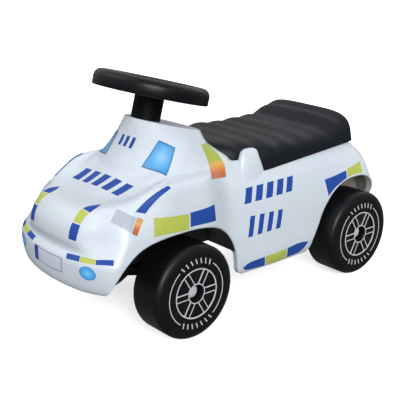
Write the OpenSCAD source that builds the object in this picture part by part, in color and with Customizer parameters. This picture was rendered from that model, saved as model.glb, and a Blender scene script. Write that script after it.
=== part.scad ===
// Ride-on toy car: a blow moulded shell on four wheels, a moulded saddle and a steering wheel
// whose raked shaft turns the front axle. The front faces -Y, +X is the driver's left, +Z is up.
// The origin lies on the ground under the middle of the car.

/* [Wheels and axles] */
// Distance between the axles
wheelbase = 360; // [356:1:362]
// Distance from the front axle forward to the middle of the car
axle_ahead = 144; // [142:1:146]
// Diameter over the tread
wheel_d = 142; // [138:1:143]
// Width of a wheel
wheel_w = 62; // [58:1:63]
// Width over the outer faces of the wheels
track_w = 279; // [277:1:282]
// Diameter of the steel axles
axle_d = 10; // [8:1:11]
// Number of spokes moulded in a wheel's face
spoke_count = 6; // [4:1:8]
// Radius of the ring round the spokes
rim_ring_r = 38; // [36:1:40]

/* [Steering] */
// Lean of the steering shaft, back from upright
rake = 15.5; // [15:0.5:16.5]
// Outer diameter of the steering wheel
steering_d = 170; // [150:2:176]
// Width of the steering wheel's rim
rim_w = 22; // [18:1:26]
// Height of the steering wheel's rim
rim_h = 19; // [15:1:20]
// Diameter of the column
column_d = 44; // [40:1:46]
// Diameter of the steel shaft
shaft_d = 14; // [12:1:16]

/* [Body] */
// Length over both bumpers
body_l = 602; // [600:1:604]
// Half width over the front fenders
fender_half = 121; // [119:1:122]
// How far the nose stands out between its two lobes
nose_bulge = 13; // [8:1:15]
// Half width of the space between the hanging sills
belly_half = 102; // [97:1:103]
// Height of the belly above the ground
belly_z = 98; // [94:1:99]

/* [Seat] */
// Number of ribs across the saddle
rib_count = 5; // [3:1:6]
// Height of a rib
rib_h = 2.6; // [1:0.2:3.2]
// Wall of the hollow saddle
seat_wall = 5; // [4:0.5:6]

/* [Hidden] */
$fn = 64;
fit = 0.05;
gap = 0.5;
front_y = -axle_ahead;
rear_y = wheelbase - axle_ahead;
axle_z = wheel_d/2;

// Levels of the shell, from the belly to the top of the cab. Each one is an outline round the car:
// [front, length of nose curve, rear, length of tail curve],
// half widths at [front corner, fender, waist, hip], heights at [front, fender, waist, door, rear].
front = -body_l/2;
rear = body_l/2;
fender = fender_half;
LEVELS = [
    [[front + 15, 43, rear - 21, 30], [104, fender - 19, 100, 103], [98, 108, 62, 61, 114]],
    [[front + 7, 41, rear - 12, 30], [113, fender - 12, 106, 108], [92, 104, 57, 56, 108]],
    [[front + 1, 41, rear - 2, 32], [118, fender - 4, 112, 115], [104, 112, 76, 76, 122]],
    [[front, 41, rear, 32], [121, fender - 1, 111, 115], [134, 130, 115, 115, 144]],
    [[front + 8, 41, rear - 7, 32], [119, fender, 108, 114], [147, 152, 140, 140, 157]],
    [[front + 18, 46, rear - 13, 34], [115, fender, 104, 110], [164, 180, 170, 170, 176]],
    [[front + 23, 50, rear - 21, 36], [106, fender - 3, 97, 103], [184, 207, 198, 196, 196]],
    [[front + 41, 52, rear - 35, 40], [96, fender - 9, 88, 93], [201, 227, 216, 214, 212]],
    [[front + 75, 50, rear - 51, 40], [84, fender - 26, 84, 84], [206, 232, 226, 226, 227]],
    [[-190, 54, 4, 34], [86, 88, 82, 81], [225, 234, 231, 231, 231]],
    [[-177, 60, -7, 34], [82, 84, 76, 76], [242, 244, 239, 238, 238]],
    [[-161, 62, -37, 28], [71, 72, 62, 62], [270, 269, 258, 258, 258]],
    [[-149, 54, -48, 24], [40, 42, 50, 50], [306, 306, 284, 284, 284]]
];
// Places along the car where the half widths and the heights above are given
corner_y = -225;
fender_y = [-165, -110];
waist_y = -40;
door_y = [40, 130];
hip_y = [60, 225];
// Where the nose bulge falls off: to the side, below, above and behind
bulge_side = [60, 84];
bulge_low = [146, 164];
bulge_high = [204, 216];
bulge_back = [-247, -215];
// Soft upright edge on the front of the cab: place, half width and height, and where it fades out
cab_edge = [28, 9, 1.6];
cab_edge_low = [238, 262];
cab_edge_back = [-125, -105];
level_steps = 3;
nose_steps = 8;
side_steps = 20;
tail_steps = 6;

// Steering axis: where it leaves the cab, and the front axle seen along it
cab_top = [0, -124, 296];
axle_back = (front_y - cab_top.y)*cos(rake) - (axle_z - cab_top.z)*sin(rake);
axle_down = (front_y - cab_top.y)*sin(rake) + (axle_z - cab_top.z)*cos(rake);
rim_low = 39;
hub_r = 28;
hub_flare = 6;
hub_top = 12;
hub_bevel = [8, 3];
rim_spoke = [26, 7];
rim_spoke_low = 4;
wheel_screw = [6, 18];
wheel_screw_head = [12, 3.5];
wheel_screw_low = -6;
head_seat = 11;
boss_r = 22;
boss_low = -188;
washer_t = 2;
bush_wall = 6;
upper_bush_l = 26;
upper_flange = 2.5;
column_low = 0.8;
lower_bush_l = 24;
socket_r = 17;
socket_low = -236;
shaft_low = socket_low + 4;
shaft_in = 9;
arm_w = 22;
arm_drop = 12;
gusset_t = 8;
tube_r = 14;
pin_d = 5;
pin_z = -214;

// Stack along an axle, as distances from the middle of the car
keel_half = 74;
keel_r = 22;
bush_r = 8;
flange_r = 12;
flange_t = 2;
bush_in = 24;
hub_in = keel_half + flange_t + 2.5;
face_x = track_w/2;
relief = 0.6;
recess_r = 13;
recess_x = face_x - 16;
cap_r = 9.5;
cap_t = 7.5;
hub_wall_r = 20;
shoulder = [14, 9];
tread_wall = 6;
face_wall = 8.5;
pocket_t = 3;
spoke_w = 10;
line_w = 1.8;
spoke_turn = 30;
arc_r = 50;
arc_half = 52;

// Wheel openings: [y, z, half length behind, height, half length ahead], with room for the wheels to
// steer, and [y, z, radius, half length behind]
front_arch = [-152, 62, 114, 97, 124];
arch_power = 2.6;
rear_arch = [226, 72, 90, 57];
rear_arch_power = 3.2;
rear_flare = [[142, 104], [114, 50]];
belly_edge = 4;
// Black liner of the front opening, which leaves a thin edge of the shell round it, and half the width
// over its two inner walls, between which the steering shaft comes down
liner_t = 5;
well_half = 46;
shell_wall = 4;
bumper_level = 2;
// Size of cutting tools that reach past the car
beyond = 400;

// Saddle: its seating planes and the crest along the middle
seat_slope = 0.06;
seat_plane_z = 208.5;
skirt_y = 22;
seat_span = [-58, 250];
seat_round = 25.5;
seat_half = 97;
SEAT_WIDTH = [[-60, -10, 40], [56, 84, seat_half]];
CREST = [[-40, 20, 100, 180, 212, 232, 251], [258, 251, 244, 243, 258, 265.5, 257]];
rib_span = [-14, 180];
// Roof of the hollow under the saddle, as [y, z] from its back to its front
SEAT_ROOF = [[234, 242], [214, 242], [190, 236], [100, 236], [skirt_y + seat_wall, 240]];
seat_stations = 64;
seat_power = 4.5;
seat_arc = 9;
// Lugs of the shell beside the saddle: foot, half thickness, half width, height and lean
lug = [87, 8.5, 186];
lug_half = [13, 27];
lug_h = 59.5;
lug_lean = 7;
lug_power = 2.9;
lug_rows = 9;
lug_points = 10;
screw_spots = [[56, 50], [56, 178]];
screw_d = 5;
screw_l = 40;
screw_head_d = 10;
screw_head_t = 4;
screw_head_z = 186;
screw_well_r = 8;

CORNERS = [["front_left", 1, front_y], ["front_right", -1, front_y],
           ["rear_left", 1, rear_y], ["rear_right", -1, rear_y]];

function ease(a, b, v) = let (t = min(1, max(0, (v - a)/(b - a)))) t*t*(3 - 2*t);

function fade(span, v) = ease(span[0], span[1], v);

function along(y, keys, values, i = 0) =
    i >= len(keys) - 2 || y < keys[i + 1]
    ? values[i] + (values[i + 1] - values[i])*ease(keys[i], keys[i + 1], y)
    : along(y, keys, values, i + 1);

// One point of a level: e is 1 along the side and falls to 0 at the middle of the nose and tail
function level_point(level, y, e) =
    let (w = level[1], z = level[2],
         x = e*along(y, concat(corner_y, fender_y, waist_y, hip_y), [w[0], w[1], w[1], w[2], w[3], w[3]]),
         h = along(y, concat(min(level[0][0], fender_y[0] - 0.1), fender_y, waist_y, door_y,
                             max(level[0][2], door_y[1] + 0.1)),
                   [z[0], z[1], z[1], z[2], z[3], z[3], z[4]]),
         bulge = nose_bulge*(1 - fade(bulge_side, x))*fade(bulge_low, h)*(1 - fade(bulge_high, h))
                 *(1 - fade(bulge_back, y)),
         edge = cab_edge[2]*exp(-pow((x - cab_edge[0])/cab_edge[1], 2))*fade(cab_edge_low, h)
                *(1 - fade(cab_edge_back, y)))
    [x, y - bulge - edge, h];

// Half outline of a level, from the middle of the nose round the left side to the middle of the tail
function half_outline(level) =
    let (f = level[0][0], n = level[0][1], r = level[0][2], t = level[0][3])
    concat(
        [for (i = [0:nose_steps - 1]) let (a = 90*i/nose_steps) level_point(level, f + n*(1 - cos(a)), sin(a))],
        [for (i = [0:side_steps]) level_point(level, f + n + (r - t - f - n)*i/side_steps, 1)],
        [for (i = [tail_steps - 1:-1:0]) let (a = 90*i/tail_steps) level_point(level, r - t*(1 - cos(a)), sin(a))]);

function closed(half) =
    concat(half, [for (i = [len(half) - 2:-1:1]) [-half[i].x, half[i].y, half[i].z]]);

// Tangent between two steps, held short where one step is much longer than the other
function tangent(a, b) =
    let (m = (a + b)/2, l = norm(m))
    l == 0 ? m : m*min(1, 2*min(norm(a), norm(b))/l);

function between(p0, p1, p2, p3, t) =
    let (m1 = tangent(p1 - p0, p2 - p1), m2 = tangent(p2 - p1, p3 - p2))
    p1*(2*t^3 - 3*t^2 + 1) + m1*(t^3 - 2*t^2 + t) + p2*(3*t^2 - 2*t^3) + m2*(t^3 - t^2);

// Smooth rows through the levels
function loft_rows(halves) =
    let (n = len(halves), k = len(halves[0]) - 1)
    [for (r = [0:(n - 1)*level_steps])
        let (i = min(n - 2, floor(r/level_steps)), t = r/level_steps - i,
             a = halves[max(0, i - 1)], b = halves[i], c = halves[i + 1], d = halves[min(n - 1, i + 2)])
        [for (j = [0:k]) between(a[j], b[j], c[j], d[j], t)]];

// Solid through closed rows that all have the same number of points, capped by strips from side to side
module loft(halves) {
    h = len(halves[0]);
    n = 2*h - 2;
    top = (len(halves) - 1)*n;
    polyhedron(
        points = [for (row = halves) each closed(row)],
        faces = concat(
            [for (r = [0:len(halves) - 2], i = [0:n - 1])
                let (a = r*n + i, b = r*n + (i + 1)%n)
                each [[a, a + n, b + n], [a, b + n, b]]],
            [for (i = [0:h - 2]) each cap_strip(i, n, 0, false)],
            [for (i = [0:h - 2]) each cap_strip(i, n, top, true)]));
}

function cap_strip(i, n, base, flip) =
    let (a = i, b = i + 1, c = (n - i - 1)%n, d = (n - i)%n,
         tris = [if (a != d) [a, b, d], if (b != c) [b, c, d]])
    [for (t = tris) [for (j = [0:2]) base + t[flip ? 2 - j : j]]];

module across(width) rotate([90, 0, 90]) linear_extrude(width, center = true) children();

module on_column() translate(cab_top) rotate([-rake, 0, 0]) children();

module at_corner(c) translate([0, c[2], axle_z]) rotate([0, 90*c[1], 0]) children();

module left_and_right() {
    children();
    mirror([1, 0, 0]) children();
}

// Superellipse over a wheel from angle a0 to a1, where 0 is behind the wheel and 180 ahead of it
function oval(y, z, half, high, power, a0, a1) =
    [for (a = [a0:5:a1]) [y + half*sign(cos(a))*pow(abs(cos(a)), 2/power), z + high*pow(sin(a), 2/power)]];

module front_opening() {
    c = front_arch;
    polygon(concat(oval(c[0], c[1], c[2], c[3], arch_power, 0, 90),
                   oval(c[0], c[1], c[4], c[3], arch_power, 95, 180),
                   [[c[0] - c[4], 0], [c[0] + c[2], 0]]));
}

module rear_opening() {
    c = rear_arch;
    polygon(concat(oval(c[0], c[1], c[3], c[2], rear_arch_power, 0, 90),
                   oval(c[0], c[1], c[2], c[2], 2, 95, 155),
                   rear_flare, [[rear_flare[1].x, 0], [c[0] + c[3], 0]]));
}

module belly_section() polygon([
    [-belly_half, 0], [-belly_half, belly_z - belly_edge], [belly_edge - belly_half, belly_z],
    [belly_half - belly_edge, belly_z], [belly_half, belly_z - belly_edge], [belly_half, 0]]);

// Half outline of a lug at part t of its height, from its front to its back
function lug_row(t, grow) =
    let (s = pow(1 - pow(t, lug_power), 1/lug_power), a = grow + s*lug_half[0], b = grow + s*lug_half[1])
    [for (i = [0:lug_points]) let (v = 180*i/lug_points - 90)
        [a*pow(cos(v), 2/lug_power), b*sign(sin(v))*pow(abs(sin(v)), 2/lug_power), t*(lug_h + grow)]];

module lug_shape(grow) translate(lug) rotate([0, -lug_lean, 0])
    loft([for (i = [0:lug_rows]) lug_row(sin(86*i/lug_rows), grow)]);

// Everything above the seating plane of the saddle
module saddle_space() {
    across(beyond) polygon([[skirt_y, seat_level(skirt_y)], [beyond, seat_level(beyond)],
                            [beyond, beyond], [skirt_y, beyond]]);
}

// A level grown on all sides, for the clearance of a piece that lies on the shell
function grown(level, g) =
    [[level[0][0] - g, level[0][1], level[0][2] + g, level[0][3]], [for (w = level[1]) w + g],
     [for (h = level[2]) h + g]];

module shell_block(g) loft(loft_rows([for (l = LEVELS) half_outline(grown(l, g))]));

// Room of the liner inside the shell: round the front opening, above the belly, inside the bumper's outline
module liner_space(g) intersection() {
    across(beyond) offset(delta = liner_t + g) front_opening();
    translate([0, 0, belly_z - g]) linear_extrude(beyond)
        polygon([for (p = closed(half_outline(grown(LEVELS[bumper_level], g - shell_wall)))) [p.x, p.y]]);
}

function seat_level(y) = seat_plane_z + seat_slope*(y - skirt_y);

module body_shell() color("#d2dae4") difference() {
    union() {
        difference() {
            shell_block(0);
            across(beyond) front_opening();
            liner_space(gap/2);
            left_and_right() translate([keel_half + beyond/2, 0, 0]) across(beyond) rear_opening();
            rotate([90, 0, 0]) translate([0, 0, -beyond]) linear_extrude(beyond - front_arch[0]) belly_section();
            saddle_space();
            on_column() cylinder(d = beyond, h = beyond);
        }
        left_and_right() lug_shape(0);
        across(2*keel_half) {
            translate([rear_y, axle_z]) circle(keel_r);
            translate([rear_y - keel_r, axle_z]) square([2*keel_r, belly_z + 4 - axle_z]);
        }
    }
    on_column() {
        translate([0, 0, boss_low]) cylinder(d = shaft_d + 4, h = 1 - boss_low);
        translate([0, 0, -upper_bush_l]) cylinder(d = shaft_d + 2*bush_wall, h = upper_bush_l + 1);
        translate([0, 0, -upper_flange]) cylinder(d = column_d - 4 + 2*fit, h = upper_flange + 1);
    }
    translate([0, rear_y, axle_z]) rotate([0, 90, 0]) {
        cylinder(d = axle_d + 4, h = 2*keel_half + 2, center = true);
        left_and_right_along() translate([0, 0, keel_half - bush_in]) cylinder(r = bush_r, h = bush_in + 1);
    }
    for (s = screw_spots) left_and_right() translate([s.x, s.y, 0]) {
        cylinder(r = screw_well_r, h = screw_head_z);
        cylinder(d = screw_d + 1, h = beyond);
    }
}

// Moulding that lines the front opening, closes it towards the middle with a wall beside each wheel, and
// carries the lower end of the steering shaft in a boss
module front_liner() color("#1a1b1e") difference() {
    union() {
        difference() {
            liner_space(0);
            across(beyond) front_opening();
        }
        intersection() {
            liner_space(0);
            union() {
                on_column() translate([0, 0, boss_low]) cylinder(r = boss_r, h = -boss_low);
                left_and_right() translate([well_half - liner_t, front, 0]) cube([liner_t, -front, beyond]);
            }
        }
    }
    on_column() translate([0, 0, boss_low - 1]) {
        cylinder(d = shaft_d + 4, h = beyond);
        cylinder(d = shaft_d + 2*bush_wall, h = lower_bush_l + 1);
    }
}

module left_and_right_along() {
    children();
    mirror([0, 0, 1]) children();
}

// Half section of the saddle at y, from its lower edge up to the middle
function seat_section(y) =
    let (end = max(0, (y - seat_span[1] + seat_round - 0.6)/seat_round),
         w = along(y, SEAT_WIDTH[0], SEAT_WIDTH[1])*sqrt(1 - end*end),
         wave = rib_h*(1 - cos(360*rib_count*(y - rib_span[0])/(rib_span[1] - rib_span[0])))/2,
         crest = along(y, CREST[0], CREST[1]) + (y > rib_span[0] && y < rib_span[1] ? wave : 0),
         low = seat_level(y))
    [for (i = [0:seat_arc]) let (a = 90*i/seat_arc)
        [w*pow(cos(a), 2/seat_power), y, low + (crest - low)*pow(sin(a), 2/seat_power)]];

// Sections run along the car, so each is turned into a closed outline from the left edge to the right
module seat_block() {
    sections = [for (i = [0:seat_stations])
        seat_section(seat_span[0] + (seat_span[1] - seat_span[0])*i/seat_stations)];
    rows = [for (s = sections) concat(s, [for (i = [seat_arc - 1:-1:0]) [-s[i].x, s[i].y, s[i].z]])];
    m = len(rows[0]);
    last = seat_stations*m;
    polyhedron(
        points = [for (r = rows) each r],
        faces = concat(
            [for (r = [0:seat_stations - 1], i = [0:m - 1])
                let (a = r*m + i, b = r*m + (i + 1)%m) each [[a, b, b + m], [a, b + m, a + m]]],
            [for (i = [1:m - 2]) [0, i + 1, i]],
            [for (i = [1:m - 2]) [last, last + i, last + i + 1]]));
}

module seat() color("#2b2e32") difference() {
    seat_block();
    intersection() {
        shell_block(gap);
        translate([-beyond/2, front, 0]) cube([beyond, skirt_y + gap - front, beyond]);
    }
    left_and_right() lug_shape(gap);
    difference() {
        across(2*(seat_half - 2*seat_wall)) polygon(concat(
            [[skirt_y + seat_wall, screw_head_z], [SEAT_ROOF[0].x, screw_head_z]], SEAT_ROOF));
        for (s = screw_spots) left_and_right() translate([s.x, s.y, seat_level(s.y)])
            cylinder(r = screw_d + 3, h = seat_half);
    }
    for (s = screw_spots) left_and_right() translate([s.x, s.y, screw_head_z])
        cylinder(d = screw_d + fit, h = screw_l + 6);
}

module seat_screws() color("#8f949b") for (s = screw_spots) left_and_right() translate([s.x, s.y, 0]) {
    translate([0, 0, screw_head_z - screw_head_t]) cylinder(d = screw_head_d, h = screw_head_t - fit);
    translate([0, 0, screw_head_z - 1]) cylinder(d = screw_d, h = screw_l);
}

// Rim section: flat underneath and rounded on top, as a moulded rim that is open to the fingers below
module rim_section() {
    r = rim_w/2;
    translate([steering_d/2 - r, 0]) {
        translate([0, rim_h - r]) circle(r);
        translate([-r, 0]) square([2*r, rim_h - r]);
    }
}

module steering_wheel() color("#1c1d21") on_column() difference() {
    union() {
        translate([0, 0, rim_low]) rotate_extrude() rim_section();
        translate([0, 0, rim_low]) cylinder(r1 = column_d/2, r2 = hub_r, h = hub_flare);
        translate([0, 0, rim_low + hub_flare]) cylinder(r = hub_r, h = hub_top - hub_flare);
        translate([0, 0, rim_low + hub_top]) cylinder(r1 = hub_r, r2 = hub_r - hub_bevel[0], h = hub_bevel[1]);
        for (a = [90:120:330]) rotate(a) translate([0, -rim_spoke[0]/2, rim_low + rim_spoke_low])
            cube([steering_d/2 - rim_w/2, rim_spoke[0], rim_spoke[1]]);
    }
    cylinder(d = shaft_d + 2*fit, h = rim_low + shaft_in);
    cylinder(d = wheel_screw[0] + gap, h = beyond);
    translate([0, 0, rim_low + head_seat]) cylinder(d = wheel_screw_head[0] + 2*gap, h = beyond);
}

module steering_screw() color("#8f949b") on_column() {
    translate([0, 0, rim_low + head_seat + fit]) cylinder(d = wheel_screw_head[0], h = wheel_screw_head[1]);
    translate([0, 0, rim_low + wheel_screw_low]) cylinder(d = wheel_screw[0], h = wheel_screw[1]);
}

module steering_column() color("#1c1d21") on_column() difference() {
    translate([0, 0, column_low]) cylinder(d = column_d, h = rim_low - column_low);
    cylinder(d = shaft_d + 2*fit, h = rim_low + 1);
}

module steering_shaft() color("#9aa0a8") on_column() difference() {
    translate([0, 0, shaft_low]) cylinder(d = shaft_d, h = rim_low + shaft_in - 1 - shaft_low);
    translate([0, 0, rim_low + wheel_screw_low - fit]) cylinder(d = wheel_screw[0] + 2*fit, h = beyond);
    translate([0, 0, pin_z]) rotate([0, 90, 0]) cylinder(d = pin_d + 2*fit, h = beyond, center = true);
}

module upper_bush() color("#d9d9d2") on_column() difference() {
    union() {
        translate([0, 0, -upper_bush_l]) cylinder(d = shaft_d + 2*bush_wall - 2*fit, h = upper_bush_l);
        translate([0, 0, -upper_flange]) cylinder(d = column_d - 4, h = upper_flange);
    }
    cylinder(d = shaft_d + 2*fit, h = beyond, center = true);
}

module lower_bush() color("#d9d9d2") on_column() difference() {
    translate([0, 0, boss_low]) cylinder(d = shaft_d + 2*bush_wall - 2*fit, h = lower_bush_l - fit);
    translate([0, 0, boss_low - 1]) cylinder(d = shaft_d + 2*fit, h = 2*lower_bush_l);
}

module thrust_washer() color("#b9bdc2") on_column() difference() {
    translate([0, 0, boss_low - washer_t]) cylinder(r = boss_r - 2, h = washer_t);
    translate([0, 0, boss_low]) cylinder(d = shaft_d + 4*fit, h = 4*washer_t, center = true);
}

// Socket for the shaft and the tube for the axle, joined by an arm with two gussets
module axle_carrier() color("#1a1b1e") difference() {
    on_column() {
        translate([0, 0, socket_low]) cylinder(r = socket_r, h = boss_low - washer_t - gap - socket_low);
        translate([-arm_w/2, 0, socket_low]) cube([arm_w, axle_back, boss_low - arm_drop - socket_low]);
        translate([0, axle_back, axle_down]) rotate([0, 90, 0]) cylinder(r = tube_r, h = 2*keel_half, center = true);
        translate([0, 0, axle_down - gusset_t/2]) linear_extrude(gusset_t)
            polygon([[-socket_r + 2, 0], [socket_r - 2, 0], [keel_half - 14, axle_back], [14 - keel_half, axle_back]]);
    }
    on_column() {
        translate([0, 0, shaft_low - fit]) cylinder(d = shaft_d + 2*fit, h = beyond);
        translate([0, 0, pin_z]) rotate([0, 90, 0]) cylinder(d = pin_d + 2*fit, h = beyond, center = true);
    }
    translate([0, front_y, axle_z]) rotate([0, 90, 0]) {
        cylinder(d = axle_d + 2, h = beyond, center = true);
        left_and_right_along() translate([0, 0, keel_half - bush_in]) cylinder(r = bush_r, h = bush_in + 1);
    }
}

module carrier_pin() color("#8f949b") on_column()
    translate([0, 0, pin_z]) rotate([0, 90, 0]) cylinder(d = pin_d, h = 2*socket_r + 3, center = true);

module axle(y) color("#a9adb3") translate([0, y, axle_z]) rotate([0, 90, 0])
    cylinder(d = axle_d, h = 2*(recess_x + cap_t - 2), center = true);

module front_axle() axle(front_y);

module rear_axle() axle(rear_y);

// Flanged bush pressed in the end of the carrier's tube or of the rear keel
module axle_bush(c) color("#d9d9d2") at_corner(c) difference() {
    union() {
        translate([0, 0, keel_half - bush_in]) cylinder(r = bush_r - fit, h = bush_in);
        translate([0, 0, keel_half]) cylinder(r = flange_r, h = flange_t);
    }
    cylinder(d = axle_d + 2*fit, h = beyond);
}

// Wheel half section: tread, rounded shoulders, face, hub and the hollow back
module wheel_section() {
    r = wheel_d/2;
    outer = face_x - relief;
    inner = face_x - wheel_w;
    difference() {
        polygon(concat(
            [[bush_r, hub_in], [hub_wall_r, hub_in], [hub_wall_r, inner]],
            [for (a = [0:10:90]) [r - shoulder[0]*(1 - sin(a)), inner + shoulder[1]*(1 - cos(a))]],
            [for (a = [90:-10:0]) [r - shoulder[0]*(1 - sin(a)), outer - shoulder[1]*(1 - cos(a))]],
            [[recess_r, outer], [recess_r, recess_x], [bush_r, recess_x]]));
        translate([hub_wall_r, inner - 1])
            square([r - tread_wall - shoulder[0]/2 - hub_wall_r, wheel_w - face_wall + 1]);
    }
}

module ring(r) difference() {
    circle(r);
    circle(r - line_w);
}

module spokes(w) for (i = [0:spoke_count - 1]) rotate(360*i/spoke_count + spoke_turn)
    translate([0, -w/2]) square([rim_ring_r, w]);

// Wheel with pockets between its spokes, raised lines on its face and ribs in its back
module wheel(c) color("#17181c") at_corner(c) difference() {
    union() {
        rotate_extrude() wheel_section();
        translate([0, 0, face_x - wheel_w + 8]) linear_extrude(wheel_w - face_wall - 8 + fit)
            for (i = [0:spoke_count - 1]) rotate(360*i/spoke_count + spoke_turn) translate([hub_wall_r - 1, -2])
                square([wheel_d/2 - tread_wall - shoulder[0]/2 - hub_wall_r + 2, 4]);
        translate([0, 0, face_x - relief - fit]) linear_extrude(relief + fit) {
            ring(rim_ring_r);
            ring(recess_r + 2);
            intersection() {
                ring(arc_r);
                rotate(90) left_and_right() polygon([[0, 0], 80*[cos(arc_half), sin(arc_half)], [120, 0],
                                                     80*[cos(arc_half), -sin(arc_half)]]);
            }
        }
    }
    translate([0, 0, face_x - relief - pocket_t]) linear_extrude(10) difference() {
        circle(rim_ring_r - line_w);
        circle(recess_r + 2);
        spokes(spoke_w);
    }
}

// Sleeve pressed in the wheel, which turns on the axle
module wheel_bush(c) color("#d9d9d2") at_corner(c) difference() {
    union() {
        translate([0, 0, hub_in]) cylinder(r = bush_r - fit, h = recess_x - hub_in);
        translate([0, 0, hub_in - 1.5]) cylinder(r = flange_r, h = 1.5);
    }
    cylinder(d = axle_d + 2*fit, h = beyond);
}

// Push-on cap on the end of the axle
module axle_cap(c) color("#a2a5aa") at_corner(c) difference() {
    translate([0, 0, recess_x + gap]) {
        cylinder(r = cap_r, h = cap_t - 3);
        translate([0, 0, cap_t - 3]) cylinder(r1 = cap_r, r2 = cap_r - 3.5, h = 2.5);
    }
    cylinder(d = axle_d + fit, h = recess_x + cap_t - 2 + fit);
}

body_shell();
front_liner();
seat();
seat_screws();
steering_wheel();
steering_screw();
steering_column();
steering_shaft();
upper_bush();
lower_bush();
thrust_washer();
axle_carrier();
carrier_pin();
front_axle();
rear_axle();
for (c = CORNERS) {
    axle_bush(c);
    wheel(c);
    wheel_bush(c);
    axle_cap(c);
}
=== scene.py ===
# %% [markdown]
# # A ride-on toy car
# The car is a blow moulded shell on four wheels, with a ribbed saddle and a raked steering wheel. The
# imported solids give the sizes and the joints. This lesson puts smooth surfaces, stickers and finishes over
# them. All lengths are written in millimetres, as on a drawing, and turned to metres when a mesh is made.

# %% Load the frame
import math

import bmesh
import bpy
import numpy as np
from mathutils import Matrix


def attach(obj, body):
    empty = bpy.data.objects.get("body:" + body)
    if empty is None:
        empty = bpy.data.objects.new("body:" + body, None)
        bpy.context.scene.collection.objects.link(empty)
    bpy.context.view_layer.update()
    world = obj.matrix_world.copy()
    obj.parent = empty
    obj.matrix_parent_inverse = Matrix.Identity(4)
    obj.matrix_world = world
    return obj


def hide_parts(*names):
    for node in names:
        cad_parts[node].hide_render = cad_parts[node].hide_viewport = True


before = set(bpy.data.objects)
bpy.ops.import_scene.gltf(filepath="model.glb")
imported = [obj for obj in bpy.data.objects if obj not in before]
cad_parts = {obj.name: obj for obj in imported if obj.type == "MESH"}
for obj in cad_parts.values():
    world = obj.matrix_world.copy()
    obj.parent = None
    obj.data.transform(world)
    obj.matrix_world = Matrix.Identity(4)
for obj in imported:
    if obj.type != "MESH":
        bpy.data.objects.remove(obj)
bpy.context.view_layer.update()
MM = 0.001
scene = bpy.context.scene
scene.view_settings.view_transform = "Standard"

# %% [markdown]
# ## Camera
# The place of the camera was worked out from the wheels and from stickers that mirror each other, so it is
# set once and never tuned by eye. A long lens far away would flatten the car; this one is about 1.4 m from
# it.

# %% Place the camera
CAMERA_AT = (986.4, -868.6, 593.0)
CAMERA_AZIMUTH = 49.23
CAMERA_ELEVATION = 18.89
CAMERA_LENS = 77.7
camera_data = bpy.data.cameras.new("camera")
camera_data.lens = CAMERA_LENS
camera_data.sensor_width = 36
camera = bpy.data.objects.new("camera", camera_data)
camera.location = [c*MM for c in CAMERA_AT]
camera.rotation_euler = (math.radians(90 - CAMERA_ELEVATION), 0, math.radians(CAMERA_AZIMUTH))
scene.collection.objects.link(camera)
scene.camera = camera
print("camera:", CAMERA_LENS, "mm lens")

# %% [markdown]
# ## Finishes
# Every finish is a Principled shader. One function adds a node with its settings and links, and one turns
# the hex value of a colour into the linear numbers that a shader works with. Patterns read Object
# coordinates, in metres, so a scale of 1000/s draws a pattern whose spots are about s millimetres apart.

# %% Helpers for finishes


def linear(hex_colour):
    """Linear red, green, blue and alpha of an sRGB hex value, by the sRGB transfer curve."""
    s = np.array([int(hex_colour[i:i + 2], 16)/255 for i in (1, 3, 5)])
    low = s/12.92
    high = ((s + 0.055)/1.055)**2.4
    return tuple(np.where(s <= 0.04045, low, high)) + (1.0,)


def add_node(tree, kind, links=(), values=(), **settings):
    """Adds a node, gives its properties and socket values, and links the named sockets."""
    node = tree.nodes.new(kind)
    for name, value in settings.items():
        setattr(node, name, value)
    for name, value in dict(values).items():
        node.inputs[name].default_value = value
    for name, source in dict(links).items():
        tree.links.new(source, node.inputs[name])
    return node


def new_finish(name, **sockets):
    """A material with a Principled shader, whose constant sockets are set here."""
    material = bpy.data.materials.new(name)
    material.use_nodes = True
    tree = material.node_tree
    shader = tree.nodes["Principled BSDF"]
    for socket, value in sockets.items():
        shader.inputs[socket.replace("_", " ")].default_value = value
    return material, tree, shader


def spots(size_mm):
    """Scale of a texture on Object coordinates whose features are that many millimetres apart."""
    return 1000/size_mm


def noise_map(tree, size_mm, detail, **more):
    """A noise factor on Object coordinates, with spots about that many millimetres apart."""
    place = add_node(tree, "ShaderNodeTexCoord")
    values = {"Scale": spots(size_mm), "Detail": detail, **more}
    return add_node(tree, "ShaderNodeTexNoise", {"Vector": place.outputs["Object"]}, values).outputs["Fac"]


def mix_tones(tree, factor, first, second):
    """A colour that goes from the first hex tone to the second one with the factor."""
    tones = {6: linear(first), 7: linear(second)}
    return add_node(tree, "ShaderNodeMix", {0: factor}, tones, data_type="RGBA").outputs[2]


def vary(tree, shader, factor, light, dark, gloss):
    """Lets a noise factor lead the colour between two tones and the roughness along its range."""
    rough = add_node(tree, "ShaderNodeMapRange", {"Value": factor},
                     {"From Min": 0.3, "From Max": 0.7, "To Min": gloss[0], "To Max": gloss[1]})
    tree.links.new(mix_tones(tree, factor, light, dark), shader.inputs["Base Color"])
    tree.links.new(rough.outputs["Result"], shader.inputs["Roughness"])


print("mid grey in linear light:", round(linear("#808080")[0], 3))

# %% [markdown]
# ### Moulded plastics
# The shell is high density polyethylene, blown into a mould: a waxy satin white with a slight orange peel.
# Inside the rear openings the shell is coloured a dull grey: painted shade, standing in for the shade that
# falls there. The saddle, wheels and steering wheel are injection moulded polypropylene in black, with a
# finer eroded grain.
# Each colour wanders a little, and the grain is a bump worked out from its size.

# %% Plastic finishes
DRIFT_MM = 60


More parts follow.
